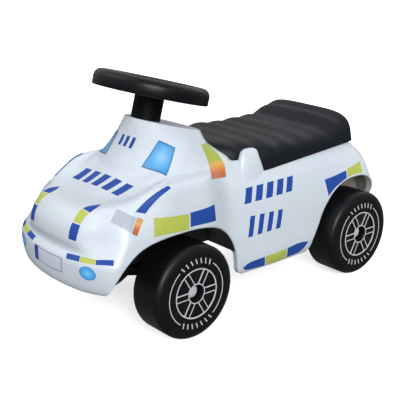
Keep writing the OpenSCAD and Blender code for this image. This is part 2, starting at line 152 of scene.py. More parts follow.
def moulded_plastic(name, light, dark, gloss, grain_mm, grain_depth_mm, specular=0.5):
    """Plastic whose colour and gloss wander over DRIFT_MM, with a grain as bump."""
    material, tree, shader = new_finish(name, IOR=1.5, Specular_IOR_Level=specular)
    vary(tree, shader, noise_map(tree, DRIFT_MM, 3), light, dark, gloss)
    grain = noise_map(tree, grain_mm, 4, Roughness=0.6)
    bump = add_node(tree, "ShaderNodeBump", {"Height": grain},
                    {"Strength": 1.0, "Distance": grain_depth_mm*MM})
    tree.links.new(bump.outputs["Normal"], shader.inputs["Normal"])
    return material


WHITE_HDPE = moulded_plastic("white_blow_moulded_hdpe", "#ced7e0", "#c6d0da", (0.32, 0.38), 2.2, 0.03)
SEAT_PP = moulded_plastic("black_grained_seat_polypropylene", "#151920", "#0f1318", (0.45, 0.55),
                          1.1, 0.1, 0.2)
WHEEL_PP = moulded_plastic("black_wheel_polypropylene", "#0d0f12", "#090a0c", (0.34, 0.44), 1.6, 0.05, 0.25)
STEERING_PP = moulded_plastic("black_steering_polypropylene", "#0b0d12", "#07090d", (0.3, 0.38),
                              1.4, 0.05, 0.25)
COLUMN_PP = moulded_plastic("black_matt_polypropylene", "#060709", "#040506", (0.5, 0.6), 1.4, 0.05, 0.1)
LINER_PP = moulded_plastic("black_liner_polypropylene", "#1e2020", "#181a1a", (0.5, 0.6), 1.8, 0.06, 0.3)
# Painted shade: a dull grey for the walls deep inside the rear openings, where the white shell lies in shadow
ARCH_PAINTED_SHADE = moulded_plastic("hdpe_painted_shade_grey", "#7e7c74", "#74726a", (0.5, 0.6), 2.2, 0.03)
CAP_PP = moulded_plastic("grey_cap_polypropylene", "#c9ccd1", "#b9bcc1", (0.3, 0.4), 1.2, 0.04)
NYLON = moulded_plastic("natural_nylon_bush", "#d6d5cc", "#c6c5bb", (0.38, 0.5), 1.0, 0.04)
print("plastics:", 9)

# %% [markdown]
# ### Zinc plated steel and silver foil
# Axles, the shaft and the screws are drawn steel rod with bright zinc. The lines on the wheels are silver
# foil, stamped on with heat. A noise in the tone and the roughness gives the cloudy look of plating and of
# worn foil.

# %% Metal finishes


def clouded_metal(name, metallic, cloud_mm, detail, light, dark, gloss):
    """Metal whose tone and gloss change in clouds of the given size."""
    material, tree, shader = new_finish(name, Metallic=metallic)
    vary(tree, shader, noise_map(tree, cloud_mm, detail), light, dark, gloss)
    return material


STEEL = clouded_metal("zinc_plated_steel", 1.0, 8, 5, "#b9bdc3", "#8f949b", (0.26, 0.44))
FOIL = clouded_metal("hot_stamped_silver_foil", 0.35, 5, 4, "#e6e8ec", "#cdd0d5", (0.35, 0.55))
print("metals:", 2)

# %% [markdown]
# ### Sticker vinyl
# The stickers are printed vinyl under a clear film. Plain colours have the cells of reflective sheeting,
# drawn 3 mm wide, coarser than the real ones so that they show.

# %% Reflective vinyl
CELL_MM = 3


def reflective_vinyl(name, colour, shade):
    """Reflective sheeting: cells of a Voronoi pattern, a shade darker along their walls."""
    material, tree, shader = new_finish(name, Roughness=0.45, Specular_IOR_Level=0.18)
    place = add_node(tree, "ShaderNodeTexCoord")
    cells = add_node(tree, "ShaderNodeTexVoronoi", {"Vector": place.outputs["Object"]},
                     {"Scale": spots(CELL_MM), "Randomness": 0.8}, feature="DISTANCE_TO_EDGE")
    wall = add_node(tree, "ShaderNodeMapRange", {"Value": cells.outputs["Distance"]},
                    {"From Min": 0.0, "From Max": 0.12})
    tree.links.new(mix_tones(tree, wall.outputs["Result"], shade, colour), shader.inputs["Base Color"])
    return material


BLUE = reflective_vinyl("blue_reflective_vinyl", "#254ca1", "#20438f")
YELLOW = reflective_vinyl("yellow_reflective_vinyl", "#b7c25c", "#a5b04f")
print("plain vinyls:", 2)

# %% [markdown]
# The windows and the number plate are pictures printed on the vinyl: pale glass with a dark line round it.
# They are drawn by the sticker's own UV map, where U runs along the sticker and V across it. Image files
# could do it too, but these stay sharp at any size.

# %% Printed glass and plate


def sticker_uv(tree):
    """The sticker's own coordinates: U along it and V across it."""
    return add_node(tree, "ShaderNodeUVMap", uv_map="sticker").outputs["UV"]


def edge_fade(tree, uv, width):
    """0 at the edges of the UV square and 1 from a distance of width inwards: the product of two ramps."""
    split = add_node(tree, "ShaderNodeSeparateXYZ", {0: uv})
    ramps = []
    for axis in (0, 1):
        centred = add_node(tree, "ShaderNodeMath", {0: split.outputs[axis]}, {1: 0.5}, operation="SUBTRACT")
        far = add_node(tree, "ShaderNodeMath", {0: centred.outputs[0]}, operation="ABSOLUTE")
        ramp = add_node(tree, "ShaderNodeMapRange", {"Value": far.outputs[0]},
                        {"From Min": 0.5, "From Max": 0.5 - width[axis]})
        ramps.append(ramp.outputs["Result"])
    return add_node(tree, "ShaderNodeMath", {0: ramps[0], 1: ramps[1]}, operation="MULTIPLY").outputs[0]


def printed_glass(name, middle, edge, outline, width, line):
    """Printed window or plate: pale in its middle, deeper towards its edges, with a thin dark outline."""
    material, tree, shader = new_finish(name, Roughness=0.22, Coat_Weight=0.4, Coat_Roughness=0.08)
    uv = sticker_uv(tree)
    glow = mix_tones(tree, edge_fade(tree, uv, width), edge, middle)
    rim = add_node(tree, "ShaderNodeMix", {0: edge_fade(tree, uv, line), 7: glow},
                   {6: linear(outline)}, data_type="RGBA")
    tree.links.new(rim.outputs[2], shader.inputs["Base Color"])
    return material


GLASS = printed_glass("printed_window_vinyl", "#86c2f2", "#3d94d0", "#1f5488", (0.45, 0.45), (0.07, 0.065))
PLATE = printed_glass("printed_plate_vinyl", "#cdd3e2", "#c6cdde", "#3c4468", (0.3, 0.3), (0.022, 0.06))
print("printed glass and plate:", 2)

# %% [markdown]
# The lamps are printed too. A run of colours along or across the sticker looks like a coloured lens, and a
# grid of fine lines like the ribbed glass of a head lamp.

# %% Lamp prints


def faded_vinyl(name, axis, stops):
    """Vinyl whose colour runs along U (axis 0) or V (axis 1) through the given places and tones."""
    material, tree, shader = new_finish(name, Roughness=0.3, Coat_Weight=0.1, Coat_Roughness=0.1)
    split = add_node(tree, "ShaderNodeSeparateXYZ", {0: sticker_uv(tree)})
    ramp = add_node(tree, "ShaderNodeValToRGB", {"Fac": split.outputs[axis]})
    for place, tone in stops[1:-1]:
        ramp.color_ramp.elements.new(place).color = linear(tone)
    ramp.color_ramp.elements[0].color = linear(stops[0][1])
    ramp.color_ramp.elements[-1].color = linear(stops[-1][1])
    tree.links.new(ramp.outputs["Color"], shader.inputs["Base Color"])
    return material


def lens_print(name, pale, dark):
    """Lamp glass print: a brick grid of fine lines on pale grey, about twelve cells along the sticker."""
    material, tree, shader = new_finish(name, Roughness=0.42, Specular_IOR_Level=0.3)
    grid = add_node(tree, "ShaderNodeTexBrick", {"Vector": sticker_uv(tree)},
                    {"Color1": linear(pale), "Color2": linear(pale), "Mortar": linear(dark), "Scale": 12.0,
                     "Mortar Size": 0.06, "Brick Width": 1.0, "Row Height": 1.2}, offset=0.0)
    tree.links.new(grid.outputs["Color"], shader.inputs["Base Color"])
    return material


BLINKER = faded_vinyl("orange_lamp_vinyl", 1, [(0, "#c98f55"), (0.35, "#e0a25c"), (0.65, "#c2693a"),
                                               (1, "#b0602f")])
LEAF = faded_vinyl("yellow_to_orange_lamp_vinyl", 0, [(0, "#9fb354"), (0.55, "#a6b24a"), (0.68, "#d9a653"),
                                                      (0.86, "#cf6f35"), (1, "#b8652f")])
FOG = faded_vinyl("printed_fog_lamp_vinyl", 1, [(0, "#2a80c8"), (0.12, "#3f9ae0"), (0.5, "#58b2ee"),
                                                (1, "#82ccfa")])
LENS = lens_print("printed_lens_vinyl", "#b0b7c4", "#9aa1b0")
print("lamp prints:", 4)

# %% [markdown]
# ## Surfaces on a grid
# Each new piece is an array of points with two parameters. Neighbours in the array are joined by quads, and
# several arrays may share one mesh. Modelling by hand could give the same forms, but here each one follows
# from a formula and a few sizes.

# %% Meshes of grids


def grid_faces(rows, columns, close_rows, close_columns):
    """Quads of a grid: corner (r, c) joins (r, c + 1), (r + 1, c + 1) and (r + 1, c), wrapping if asked."""
    index = np.arange(rows*columns).reshape(rows, columns)
    if close_rows:
        index = np.concatenate([index, index[:1]], 0)
    if close_columns:
        index = np.concatenate([index, index[:, :1]], 1)
    quads = np.stack([index[:-1, :-1], index[:-1, 1:], index[1:, 1:], index[1:, :-1]], -1)
    return quads.reshape(-1, 4)


def add_mesh(name, points, faces):
    """A mesh from points in millimetres and lists of corners."""
    mesh = bpy.data.meshes.new(name)
    mesh.from_pydata((np.asarray(points, float)*MM).tolist(), [], [list(f) for f in faces])
    mesh.validate()
    return mesh


def join_grids(name, grids):
    """One mesh of several open grids, laid one after another."""
    faces = []
    start = 0
    for grid in grids:
        faces.append(grid_faces(*grid.shape[:2], False, False) + start)
        start += grid.shape[0]*grid.shape[1]
    return add_mesh(name, np.concatenate([g.reshape(-1, 3) for g in grids]), np.concatenate(faces).tolist())


def face_outwards(mesh):
    """Turns the faces of a closed mesh so that they all point outwards."""
    work = bmesh.new()
    work.from_mesh(mesh)
    bmesh.ops.recalc_face_normals(work, faces=work.faces)
    work.to_mesh(mesh)
    work.free()


def shade(mesh, sharp_angle):
    """Smooth shading, with an edge kept sharp where its faces turn by more than the angle in degrees."""
    mesh.polygons.foreach_set("use_smooth", np.ones(len(mesh.polygons), bool))
    mesh.set_sharp_from_angle(angle=math.radians(sharp_angle))


print("quads in a grid of 3 by 3 points:", len(grid_faces(3, 3, False, False)))

# %% [markdown]
# A piece is an object that stays at the origin, so that its coordinates are those of the car. Booleans cut
# closed objects and join them. Their result goes into the mesh at once, because the next cut starts from
# it.

# %% Objects and booleans


def one_finish(mesh, material):
    """Gives every face of a mesh the same material."""
    mesh.materials.clear()
    mesh.materials.append(material)
    mesh.polygons.foreach_set("material_index", np.zeros(len(mesh.polygons), np.int32))


def add_object(name, mesh, material):
    """An object at the origin with one material."""
    one_finish(mesh, material)
    piece = bpy.data.objects.new(name, mesh)
    scene.collection.objects.link(piece)
    return piece


def closed_object(name, grid, material, ring=False):
    """A closed object of a grid whose columns run round it. Its rows close in a ring, or end in two caps."""
    rows, columns = grid.shape[:2]
    faces = grid_faces(rows, columns, ring, True).tolist()
    if not ring:
        faces.append(list(range(columns))[::-1])
        faces.append(list(range((rows - 1)*columns, rows*columns)))
    mesh = add_mesh(name, grid.reshape(-1, 3), faces)
    face_outwards(mesh)
    return add_object(name, mesh, material)


def bake_modifiers(piece):
    """Puts the result of an object's modifiers into its mesh."""
    bpy.context.view_layer.update()
    done = bpy.data.meshes.new_from_object(piece.evaluated_get(bpy.context.evaluated_depsgraph_get()))
    piece.modifiers.clear()
    piece.data = done


def cut(piece, cutters, operation="DIFFERENCE"):
    """Cuts pieces out of a mesh, or joins them on, with exact booleans, and removes the tools."""
    for tool in cutters:
        step = piece.modifiers.new("cut", "BOOLEAN")
        step.operation = operation
        step.solver = "EXACT"
        step.object = tool
    bake_modifiers(piece)
    for tool in cutters:
        bpy.data.objects.remove(tool)


# %% [markdown]
# Widths and heights change along the car in smooth steps. These are level at both ends, so forms run into
# each other without a crease. Curves through given points are cubic Hermite curves, which need only the
# points and their tangents.

# %% Smooth steps and curves


def ease(low, high, value):
    """Smooth step: 0 below low, 1 above high, and 3t2 - 2t3 between them."""
    t = np.clip((value - low)/(high - low), 0, 1)
    return t*t*(3 - 2*t)


def along(y, keys, values):
    """Value at y of a chain of smooth steps through the given keys."""
    keys = np.asarray(keys, float)
    values = np.asarray(values, float)
    i = np.clip(np.searchsorted(keys, y, side="right") - 1, 0, len(keys) - 2)
    return values[i] + (values[i + 1] - values[i])*ease(keys[i], keys[i + 1], y)


def hermite(start, leave, end, arrive, t):
    """Cubic Hermite curve at t from 0 to 1: two points with the tangents that leave and reach them."""
    return (start*(2*t**3 - 3*t**2 + 1) + leave*(t**3 - 2*t**2 + t)
            + end*(3*t**2 - 2*t**3) + arrive*(t**3 - t**2))


def directions(path):
    """Unit steps along a path."""
    run = np.gradient(path, axis=0)
    return run/np.linalg.norm(run, axis=1, keepdims=True)


def full_turn(count):
    """Angles at even steps once round."""
    return np.linspace(0, 2*np.pi, count, endpoint=False)


def unit(angle):
    """Cosine and sine of an angle: a point on a circle of radius 1."""
    return np.stack([np.cos(angle), np.sin(angle)], -1)


def mirrored(points):
    """The same points on the other side of the car."""
    return points*np.array([-1, 1, 1])


print("half way up a smooth step:", ease(0, 2, 1.0))

# %% [markdown]
# ## The shell
# The shell is drawn as a pile of outlines round the car, from the belly up to the top of the cab, as a boat
# is drawn by its waterlines. Each outline has a rounded nose, a side whose width swells at the fender and
# hip and narrows at the waist, and a rounded tail; its height rises and falls along the car as well. Smooth
# curves run upwards through the outlines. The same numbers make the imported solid. Here the grid is finer,
# and most of its points lie ahead of the end of the cab, which smooths the foot of the cab.

# %% Levels of the shell
FRONT = -301
REAR = 301
FENDER = 121
NOSE_BULGE = 13
# The bulge fades out to the side, starts above the bumper, and ends at the top and back of the nose
BULGE_SIDE, BULGE_FOOT, BULGE_TOP, BULGE_BACK = (60, 84), (146, 164), (204, 216), (-247, -215)
# Soft edge on the front of the cab: place, half width and height, where it rises and where it ends
CAB_EDGE = (28, 9, 1.6)
EDGE_FOOT, EDGE_BACK = (238, 262), (-125, -105)
WIDTH_AT = (-225, -165, -110, -40, 60, 225)
HEIGHT_AT = (-165, -110, -40, 40, 130)
# (front, nose length, rear, tail length), half widths at corner, fender, waist, hip,
# heights at front, fender, waist, door, rear
LEVELS = {
    "belly": ((FRONT + 15, 43, REAR - 21, 30), (104, FENDER - 19, 100, 103), (98, 108, 62, 61, 114)),
    "sill": ((FRONT + 7, 41, REAR - 12, 30), (113, FENDER - 12, 106, 108), (92, 104, 57, 56, 108)),
    "lower": ((FRONT + 1, 41, REAR - 2, 32), (118, FENDER - 4, 112, 115), (104, 112, 76, 76, 122)),
    "upper": ((FRONT, 41, REAR, 32), (121, FENDER - 1, 111, 115), (134, 130, 115, 115, 144)),
    "crease": ((FRONT + 8, 41, REAR - 7, 32), (119, FENDER, 108, 114), (147, 152, 140, 140, 157)),
    "wing": ((FRONT + 18, 46, REAR - 13, 34), (115, FENDER, 104, 110), (164, 180, 170, 170, 176)),
    "crest": ((FRONT + 23, 50, REAR - 21, 36), (106, FENDER - 3, 97, 103), (184, 207, 198, 196, 196)),
    "shelf": ((FRONT + 41, 52, REAR - 35, 40), (96, FENDER - 9, 88, 93), (201, 227, 216, 214, 212)),
    "deck": ((FRONT + 75, 50, REAR - 51, 40), (84, FENDER - 26, 84, 84), (206, 232, 226, 226, 227)),
    "cab_foot": ((-190, 54, 4, 34), (86, 88, 82, 81), (225, 234, 231, 231, 231)),
    "cab_low": ((-177, 60, -7, 34), (82, 84, 76, 76), (242, 244, 239, 238, 238)),
    "cab_middle": ((-161, 62, -37, 28), (71, 72, 62, 62), (270, 269, 258, 258, 258)),
    "cab_top": ((-149, 54, -48, 24), (40, 42, 50, 50), (306, 306, 284, 284, 284)),
}
print("levels:", len(LEVELS))

# %% [markdown]
# Half an outline is enough, because the car is the same on both sides. Quarters of an ellipse make the nose
# and the tail, as a blown corner would be. A traced outline would need many more numbers and show its
# corners.

# %% Half an outline
NOSE_STEPS = 22
SIDE_STEPS = 140
TAIL_STEPS = 18
SIDE_MIDDLE = (0.7, -30)


def half_outline(level):
    """Half an outline from the middle of the nose to the middle of the tail. A quarter of an ellipse makes
    the nose and the tail; width and height come from the chains of smooth steps; the nose swells between its
    lobes and the front of the cab has a soft upright edge, a bell curve across the car. Most points of a side
    lie ahead of the end of the cab, on every outline, so that the curves upwards don't fold at its foot."""
    (front, nose, rear, tail), width, height = level
    a = np.linspace(0, np.pi/2, NOSE_STEPS, endpoint=False)
    b = np.linspace(0, np.pi/2, TAIL_STEPS, endpoint=False)[::-1]
    share, middle = SIDE_MIDDLE
    places = (front + nose, min(middle, rear - tail - 8), rear - tail)
    side = np.interp(np.linspace(0, 1, SIDE_STEPS + 1), (0, share, 1), places)
    y = np.concatenate([front + nose*(1 - np.cos(a)), side, rear - tail*(1 - np.cos(b))])
    round_off = np.concatenate([np.sin(a), np.ones(SIDE_STEPS + 1), np.sin(b)])
    corner, fender, waist, hip = width
    x = round_off*along(y, WIDTH_AT, (corner, fender, fender, waist, hip, hip))
    at_front, at_fender, at_waist, at_door, at_rear = height
    keys = (min(front, HEIGHT_AT[0] - 0.1),) + HEIGHT_AT + (max(rear, HEIGHT_AT[-1] + 0.1),)
    z = along(y, keys, (at_front, at_fender, at_fender, at_waist, at_door, at_door, at_rear))
    swell = NOSE_BULGE*(1 - ease(*BULGE_SIDE, x))*ease(*BULGE_FOOT, z)
    swell = swell*(1 - ease(*BULGE_TOP, z))*(1 - ease(*BULGE_BACK, y))
    place, spread, high = CAB_EDGE
    edge = high*np.exp(-((x - place)/spread)**2)*ease(*EDGE_FOOT, z)*(1 - ease(*EDGE_BACK, y))
    return np.stack([x, y - swell - edge, z], -1)


print("points of half an outline:", len(half_outline(LEVELS["belly"])))

# %% [markdown]
# Curves run upwards through the outlines and make the skin. Their tangents are held short, because a free
# spline would bulge where the shell turns sharply from the fender to the hood.

# %% Skin of the shell
LEVEL_STEPS = 8


def held_tangent(a, b):
    """Mean of two steps, held to twice the shorter one so that a curve doesn't overshoot."""
    mean = (a + b)/2
    size = np.linalg.norm(mean, axis=-1, keepdims=True)
    short = np.minimum(np.linalg.norm(a, axis=-1, keepdims=True), np.linalg.norm(b, axis=-1, keepdims=True))
    return mean*np.minimum(1, 2*short/np.maximum(size, 1e-9))


def through_levels(halves):
    """Hermite curves upwards through the outlines, LEVEL_STEPS rows between each pair."""
    count = len(halves)
    row = np.arange((count - 1)*LEVEL_STEPS + 1)
    i = np.minimum(count - 2, row//LEVEL_STEPS)
    t = (row/LEVEL_STEPS - i)[:, None, None]
    before, low, high, after = (halves[np.clip(i + k, 0, count - 1)] for k in (-1, 0, 1, 2))
    leave = held_tangent(low - before, high - low)
    arrive = held_tangent(high - low, after - high)
    return hermite(low, leave, high, arrive, t)


def strip_cap(base, half_count, flip):
    """Closes an outline with strips from its left side to the mirrored points on its right side."""
    n = 2*half_count - 2
    i = np.arange(1, half_count - 2)
    quads = np.stack([i, i + 1, n - i - 1, n - i], -1) + base
    ends = [[base, base + 1, base + n - 1], [base + half_count - 2, base + half_count - 1, base + half_count]]
    faces = quads.tolist() + ends
    return [f[::-1] for f in faces] if not flip else faces


def shell_block(name, grow):
    """The uncut shell with every level grown by a clearance: its rows on one side and its closed object."""
    halves = []
    for (front, nose, rear, tail), width, height in LEVELS.values():
        ends = (front - grow, nose, rear + grow, tail)
        halves.append(half_outline((ends, [w + grow for w in width], [h + grow for h in height])))
    rows = through_levels(np.stack(halves))
    grid = np.concatenate([rows, mirrored(rows[:, -2:0:-1])], 1)
    faces = grid_faces(*grid.shape[:2], False, True).tolist()
    faces += strip_cap(0, rows.shape[1], False)
    faces += strip_cap((len(grid) - 1)*grid.shape[1], rows.shape[1], True)
    mesh = add_mesh(name, grid.reshape(-1, 3), faces)
    face_outwards(mesh)
    return rows, add_object(name, mesh, WHITE_HDPE)


shell_rows, shell = shell_block("shell", 0)
print("shell:", shell_rows.shape, "points on each side before cutting")

# %% [markdown]
# ### Wheel openings
# Seen from the side, the front opening is half of a superellipse, longer ahead of the wheel so that it can
# steer. The rear one has a square shoulder behind the wheel and flares to the sill.

# %% Outlines of the openings
FRONT_ARCH = (-152, 62, 114, 97, 124)
ARCH_POWER = 2.6
SILL_CORNER = 15
SILL_Z = 57
REAR_ARCH = (226, 72, 90, 57)
REAR_POWER = 3.2
FLARE_FOOT = (114, 50)
TOOL_LOW = -30


def power(value, exponent):
    """A power that keeps the sign of its value."""
    return np.sign(value)*np.abs(value)**exponent


def front_outline():
    """Front opening seen from the side: half a superellipse, open downwards and longer ahead of the wheel,
    with a rounded corner where it meets the sill."""
    y0, z0, behind, high, ahead = FRONT_ARCH
    a = np.linspace(0, np.pi, 181)
    half = np.where(np.cos(a) > 0, behind, ahead)
    path = np.stack([y0 + half*power(np.cos(a), 2/ARCH_POWER), z0 + high*power(np.sin(a), 2/ARCH_POWER)], -1)
    foot = np.array([y0 + behind + SILL_CORNER, SILL_Z + SILL_CORNER])
    b = np.radians(np.linspace(270, 180, 24))
    corner = foot + SILL_CORNER*unit(b)
    path = path[(path[:, 1] > foot[1]) | (path[:, 0] < y0)]
    return np.concatenate([[(foot[0], TOOL_LOW)], corner, path, [(y0 - ahead, TOOL_LOW)]])


def rear_outline():
    """Rear opening seen from the side: a square-shouldered quarter behind the wheel, an arc ahead of it and a
    straight flare to the sill."""
    y0, z0, r, behind = REAR_ARCH
    a = np.linspace(0, np.pi/2, 60)[:-1]
    b = np.linspace(np.pi/2, math.radians(159), 60)
    shoulder = np.stack([y0 + behind*np.cos(a)**(2/REAR_POWER), z0 + r*np.sin(a)**(2/REAR_POWER)], -1)
    arc = (y0, z0) + r*unit(b)
    foot = [FLARE_FOOT, (FLARE_FOOT[0], TOOL_LOW)]
    return np.concatenate([[(y0 + behind, TOOL_LOW)], shoulder, arc, foot])


print("points of the openings:", len(front_outline()), len(rear_outline()))

# %% [markdown]
# The openings are cut with tools that flare where they leave the shell, so that the edge of each opening
# comes out rounded, as a blown edge is. A tool is the outline of the opening carried along X; near the
# surface it grows along a quarter circle, and the width of the shell at each point says where the surface
# is. The walls deep inside the rear openings get painted shade, a dull grey colour; they are the first row
# of a tool's faces and its inner cap.

# %% Cut the wheel openings
EDGE_RADIUS = 3.5
KEEL_HALF = 74
FRONT_INNER = 20.0
TOOL_OUT = 200
# Depth of the white lip inside an opening's edge; in the rear openings the painted shade starts beyond it
BRIGHT_LIP = 10
ARCH_POINTS = 160
side_points = shell_rows[2*LEVEL_STEPS:, NOSE_STEPS//3:].reshape(-1, 3)


def width_at(y, z):
    """Half width of the shell at a place seen from the side: a mean of the four nearest points of its rows,
    in which the nearest counts most."""
    far = (side_points[None, :, 1] - y[:, None])**2 + (side_points[None, :, 2] - z[:, None])**2
    near = np.argpartition(far, 4, axis=1)[:, :4]
    weight = 1/(np.take_along_axis(far, near, 1) + 0.05)
    return (side_points[near, 0]*weight).sum(1)/weight.sum(1)


def even_path(path, count):
    """The same path with points at even distances."""
    run = np.concatenate([[0], np.cumsum(np.linalg.norm(np.diff(path, axis=0), axis=1))])
    at = np.linspace(0, run[-1], count)
    return np.stack([np.interp(at, run, path[:, k]) for k in range(path.shape[1])], -1)


def grown_path(outline, grow):
    """An outline with even points, moved outwards along its normal."""
    path = even_path(outline, ARCH_POINTS)
    run = directions(path)
    return path + grow*np.stack([run[:, 1], -run[:, 0]], -1)


def flared_tool(outline, inner):
    """Points of a tool from |x| = inner outwards: straight to the lip and on to the edge, then a quarter
    circle of growth, then straight out."""
    start = grown_path(outline, 0)
    lip = width_at(start[:, 0], start[:, 1]) - EDGE_RADIUS - BRIGHT_LIP
    stations = [np.column_stack([x, start]) for x in (np.full(ARCH_POINTS, inner), lip)]
    for angle in np.radians((0, 15, 30, 45, 60, 72, 82)):
        grown = grown_path(outline, EDGE_RADIUS*(1 - np.cos(angle)))
        x = width_at(grown[:, 0], grown[:, 1]) - EDGE_RADIUS*(1 - np.sin(angle))
        stations.append(np.column_stack([x, grown]))
    stations.append(np.column_stack([np.full(ARCH_POINTS, TOOL_OUT), grown_path(outline, EDGE_RADIUS*1.4)]))
    return np.stack(stations)


front_half = flared_tool(front_outline(), FRONT_INNER)
front_tool = np.concatenate([mirrored(front_half[::-1]), front_half])
rear_left = flared_tool(rear_outline(), KEEL_HALF)
tools = []
for name, grid in (("front", front_tool), ("rear_left", rear_left), ("rear_right", mirrored(rear_left))):
    tools.append(closed_object(name, grid, WHITE_HDPE))
# Painted shade: the first row of faces and the inner cap of each rear tool carry the grey into the shell
shell.data.materials.append(ARCH_PAINTED_SHADE)
for tool in tools[1:]:
    painted_shade_faces = np.zeros(len(tool.data.polygons), np.int32)
    painted_shade_faces[:ARCH_POINTS] = 1
    painted_shade_faces[-2] = 1
    tool.data.materials.append(ARCH_PAINTED_SHADE)
    tool.data.polygons.foreach_set("material_index", painted_shade_faces)
cut(shell, tools)
print("openings cut:", len(shell.data.polygons), "faces")

# %% [markdown]
# ### Room for the liner
# In the photograph the front opening is dark inside, unlike the rear ones, so a black moulding is taken to
# line it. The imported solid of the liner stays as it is. The shell gets the room for it: the opening's
# outline grown by the liner's thickness, but only above the belly and inside the outline of the bumper, so
# that a thin white edge is left round the opening. The liner's two inner walls stand inside the opening, so
# they need no room.

# %% Cut the room for the liner
LINER_THICK = 5
LINER_GAP = 0.25
LINER_REACH = 150
LINER_TOP = 300
SHELL_WALL = 4
BELLY_Z = 98


def prism(name, outline, low, high, axis):
    """A closed tool: a flat outline carried from low to high along X, Y or Z."""
    outline = np.asarray(outline, float)
    grid = np.stack([np.insert(outline, axis, end, axis=1) for end in (low, high)])
    return closed_object(name, grid, WHITE_HDPE)


(front, nose, rear, tail), widths, heights = LEVELS["lower"]
inset = SHELL_WALL - LINER_GAP
ends = (front + inset, nose, rear - inset, tail)
bumper = half_outline((ends, [w - inset for w in widths], heights))[:, :2]
plan = np.concatenate([bumper, bumper[-2:0:-1]*(-1, 1)])
outer = grown_path(front_outline(), LINER_THICK + LINER_GAP)
liner_room = prism("liner_room", outer, -LINER_REACH, LINER_REACH, 0)
cut(liner_room, [prism("plan", plan, BELLY_Z - LINER_GAP, LINER_TOP, 2)], "INTERSECT")
cut(shell, [liner_room])
print("room for the liner cut:", len(shell.data.polygons), "faces")

# %% [markdown]
# ### Belly, seating planes and holes
# Under the car a flat channel runs between the sills, with a well for each seat screw. On top the shell is
# flat under the saddle, and the cab is cut square to the steering shaft.

# %% Cut the flat places
RAKE = math.radians(15.5)
CAB_TOP = np.array([0, -124.0, 296.0])
SHAFT_UP = np.array([0, math.sin(RAKE), math.cos(RAKE)])
SHAFT_BACK = np.array([0, math.cos(RAKE), -math.sin(RAKE)])
TOOL_TOP = 400
CAB_CUT = (100, 60)
SHAFT_HOLE = (13, -200)
BUSH_SEAT = (20.05, -2.5)
HOLE_TOP = 20
BELLY_HALF = 102
BELLY_EDGE = 4
CHANNEL_FROM = -60
SEAT_Z = 208.5
SEAT_SLOPE = 0.06
SKIRT_Y = 22
SCREWS = ((56, 50), (56, 178))
SCREW_WELL = 8
SCREW_HEAD_Z = 186


def seat_level(y):
    """Height of the plane that the saddle's skirt stands on."""
    return SEAT_Z + SEAT_SLOPE*(y - SKIRT_Y)


def on_column(points):
    """Points given as across, back and up of the steering shaft, put where the shaft is."""
    points = np.asarray(points, float)
    across = points[..., :1]*np.array([1, 0, 0])
    return CAB_TOP + across + points[..., 1:2]*SHAFT_BACK + points[..., 2:]*SHAFT_UP


def circle(radius, count=48):
    """Points of a circle round the origin of a plane."""
    return radius*unit(full_turn(count))


def column_tool(name, outline, low, high):
    """A closed tool square to the steering shaft, from low to high along it."""
    outline = np.asarray(outline, float)
    grid = on_column(np.stack([np.insert(outline, 2, end, axis=1) for end in (low, high)]))
    return closed_object(name, grid, WHITE_HDPE)


channel = [(-BELLY_HALF, 0), (-BELLY_HALF, BELLY_Z - BELLY_EDGE), (BELLY_EDGE - BELLY_HALF, BELLY_Z),
           (BELLY_HALF - BELLY_EDGE, BELLY_Z), (BELLY_HALF, BELLY_Z - BELLY_EDGE), (BELLY_HALF, 0)]
far = REAR + 10
landing = [(SKIRT_Y, seat_level(SKIRT_Y)), (far, seat_level(far)), (far, TOOL_TOP), (SKIRT_Y, TOOL_TOP)]
half, cab_high = CAB_CUT
flat_tools = [
    prism("channel", channel, CHANNEL_FROM, far, 1),
    prism("landing", landing, -TOOL_OUT, TOOL_OUT, 0),
    column_tool("cab_cut", [(-half, -half), (half, -half), (half, half), (-half, half)], 0, cab_high),
    column_tool("shaft_hole", circle(SHAFT_HOLE[0]), SHAFT_HOLE[1], HOLE_TOP),
    column_tool("bush_seat", circle(BUSH_SEAT[0]), BUSH_SEAT[1], HOLE_TOP),
]
for x, y in SCREWS:
    for side in (1, -1):
        flat_tools.append(prism("well", circle(SCREW_WELL, 24) + (side*x, y), 0, SCREW_HEAD_Z, 2))
cut(shell, flat_tools)
print("flat places cut:", len(shell.data.polygons), "faces")

# %% [markdown]
# ### Lugs and keel
# A lug rises from the shell on each side, in a notch of the saddle. It is a superellipse in plan that
# closes over like a thumb. The keel under the tail carries the rear axle.

# %% Join the lugs and the keel
LUG_AT = np.array([87, 8.5, 186])
LUG_HALF = (13, 27)
LUG_HIGH = 59.5
LUG_LEAN = math.radians(7)
LUG_POWER = 2.9
AXLE_Z = 71
REAR_AXLE_Y = 216
FRONT_AXLE_Y = -144
KEEL_R = 22


def lug_points(grow, rings=28, count=64):
    """Lug: rings of a superellipse whose size falls along a superellipse of the height, leaned inwards."""
    t = np.sin(np.radians(np.linspace(0, 88, rings)))[:, None]
    a = full_turn(count)[None, :]
    size = (1 - t**LUG_POWER)**(1/LUG_POWER)
    x = (grow + size*LUG_HALF[0])*power(np.cos(a), 2/LUG_POWER)
    y = (grow + size*LUG_HALF[1])*power(np.sin(a), 2/LUG_POWER)
    z = t*(LUG_HIGH + grow) + 0*a
    lean_x = x*math.cos(LUG_LEAN) - z*math.sin(LUG_LEAN)
    lean_z = x*math.sin(LUG_LEAN) + z*math.cos(LUG_LEAN)
    return LUG_AT + np.stack([lean_x, y, lean_z], -1)


def lug_tools(grow):
    """Both lugs as closed objects."""
    points = lug_points(grow)
    return [closed_object("lug", grid, WHITE_HDPE) for grid in (points, mirrored(points))]


keel = np.concatenate([circle(KEEL_R, 72)[36:] + (REAR_AXLE_Y, AXLE_Z),
                       [(REAR_AXLE_Y + KEEL_R, BELLY_Z + 4), (REAR_AXLE_Y - KEEL_R, BELLY_Z + 4)]])
cut(shell, lug_tools(0) + [prism("keel", keel, -KEEL_HALF, KEEL_HALF, 0)], "UNION")
shade(shell.data, 32)
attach(shell, "body")
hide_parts("body_shell")
print("shell:", len(shell.data.polygons), "faces")

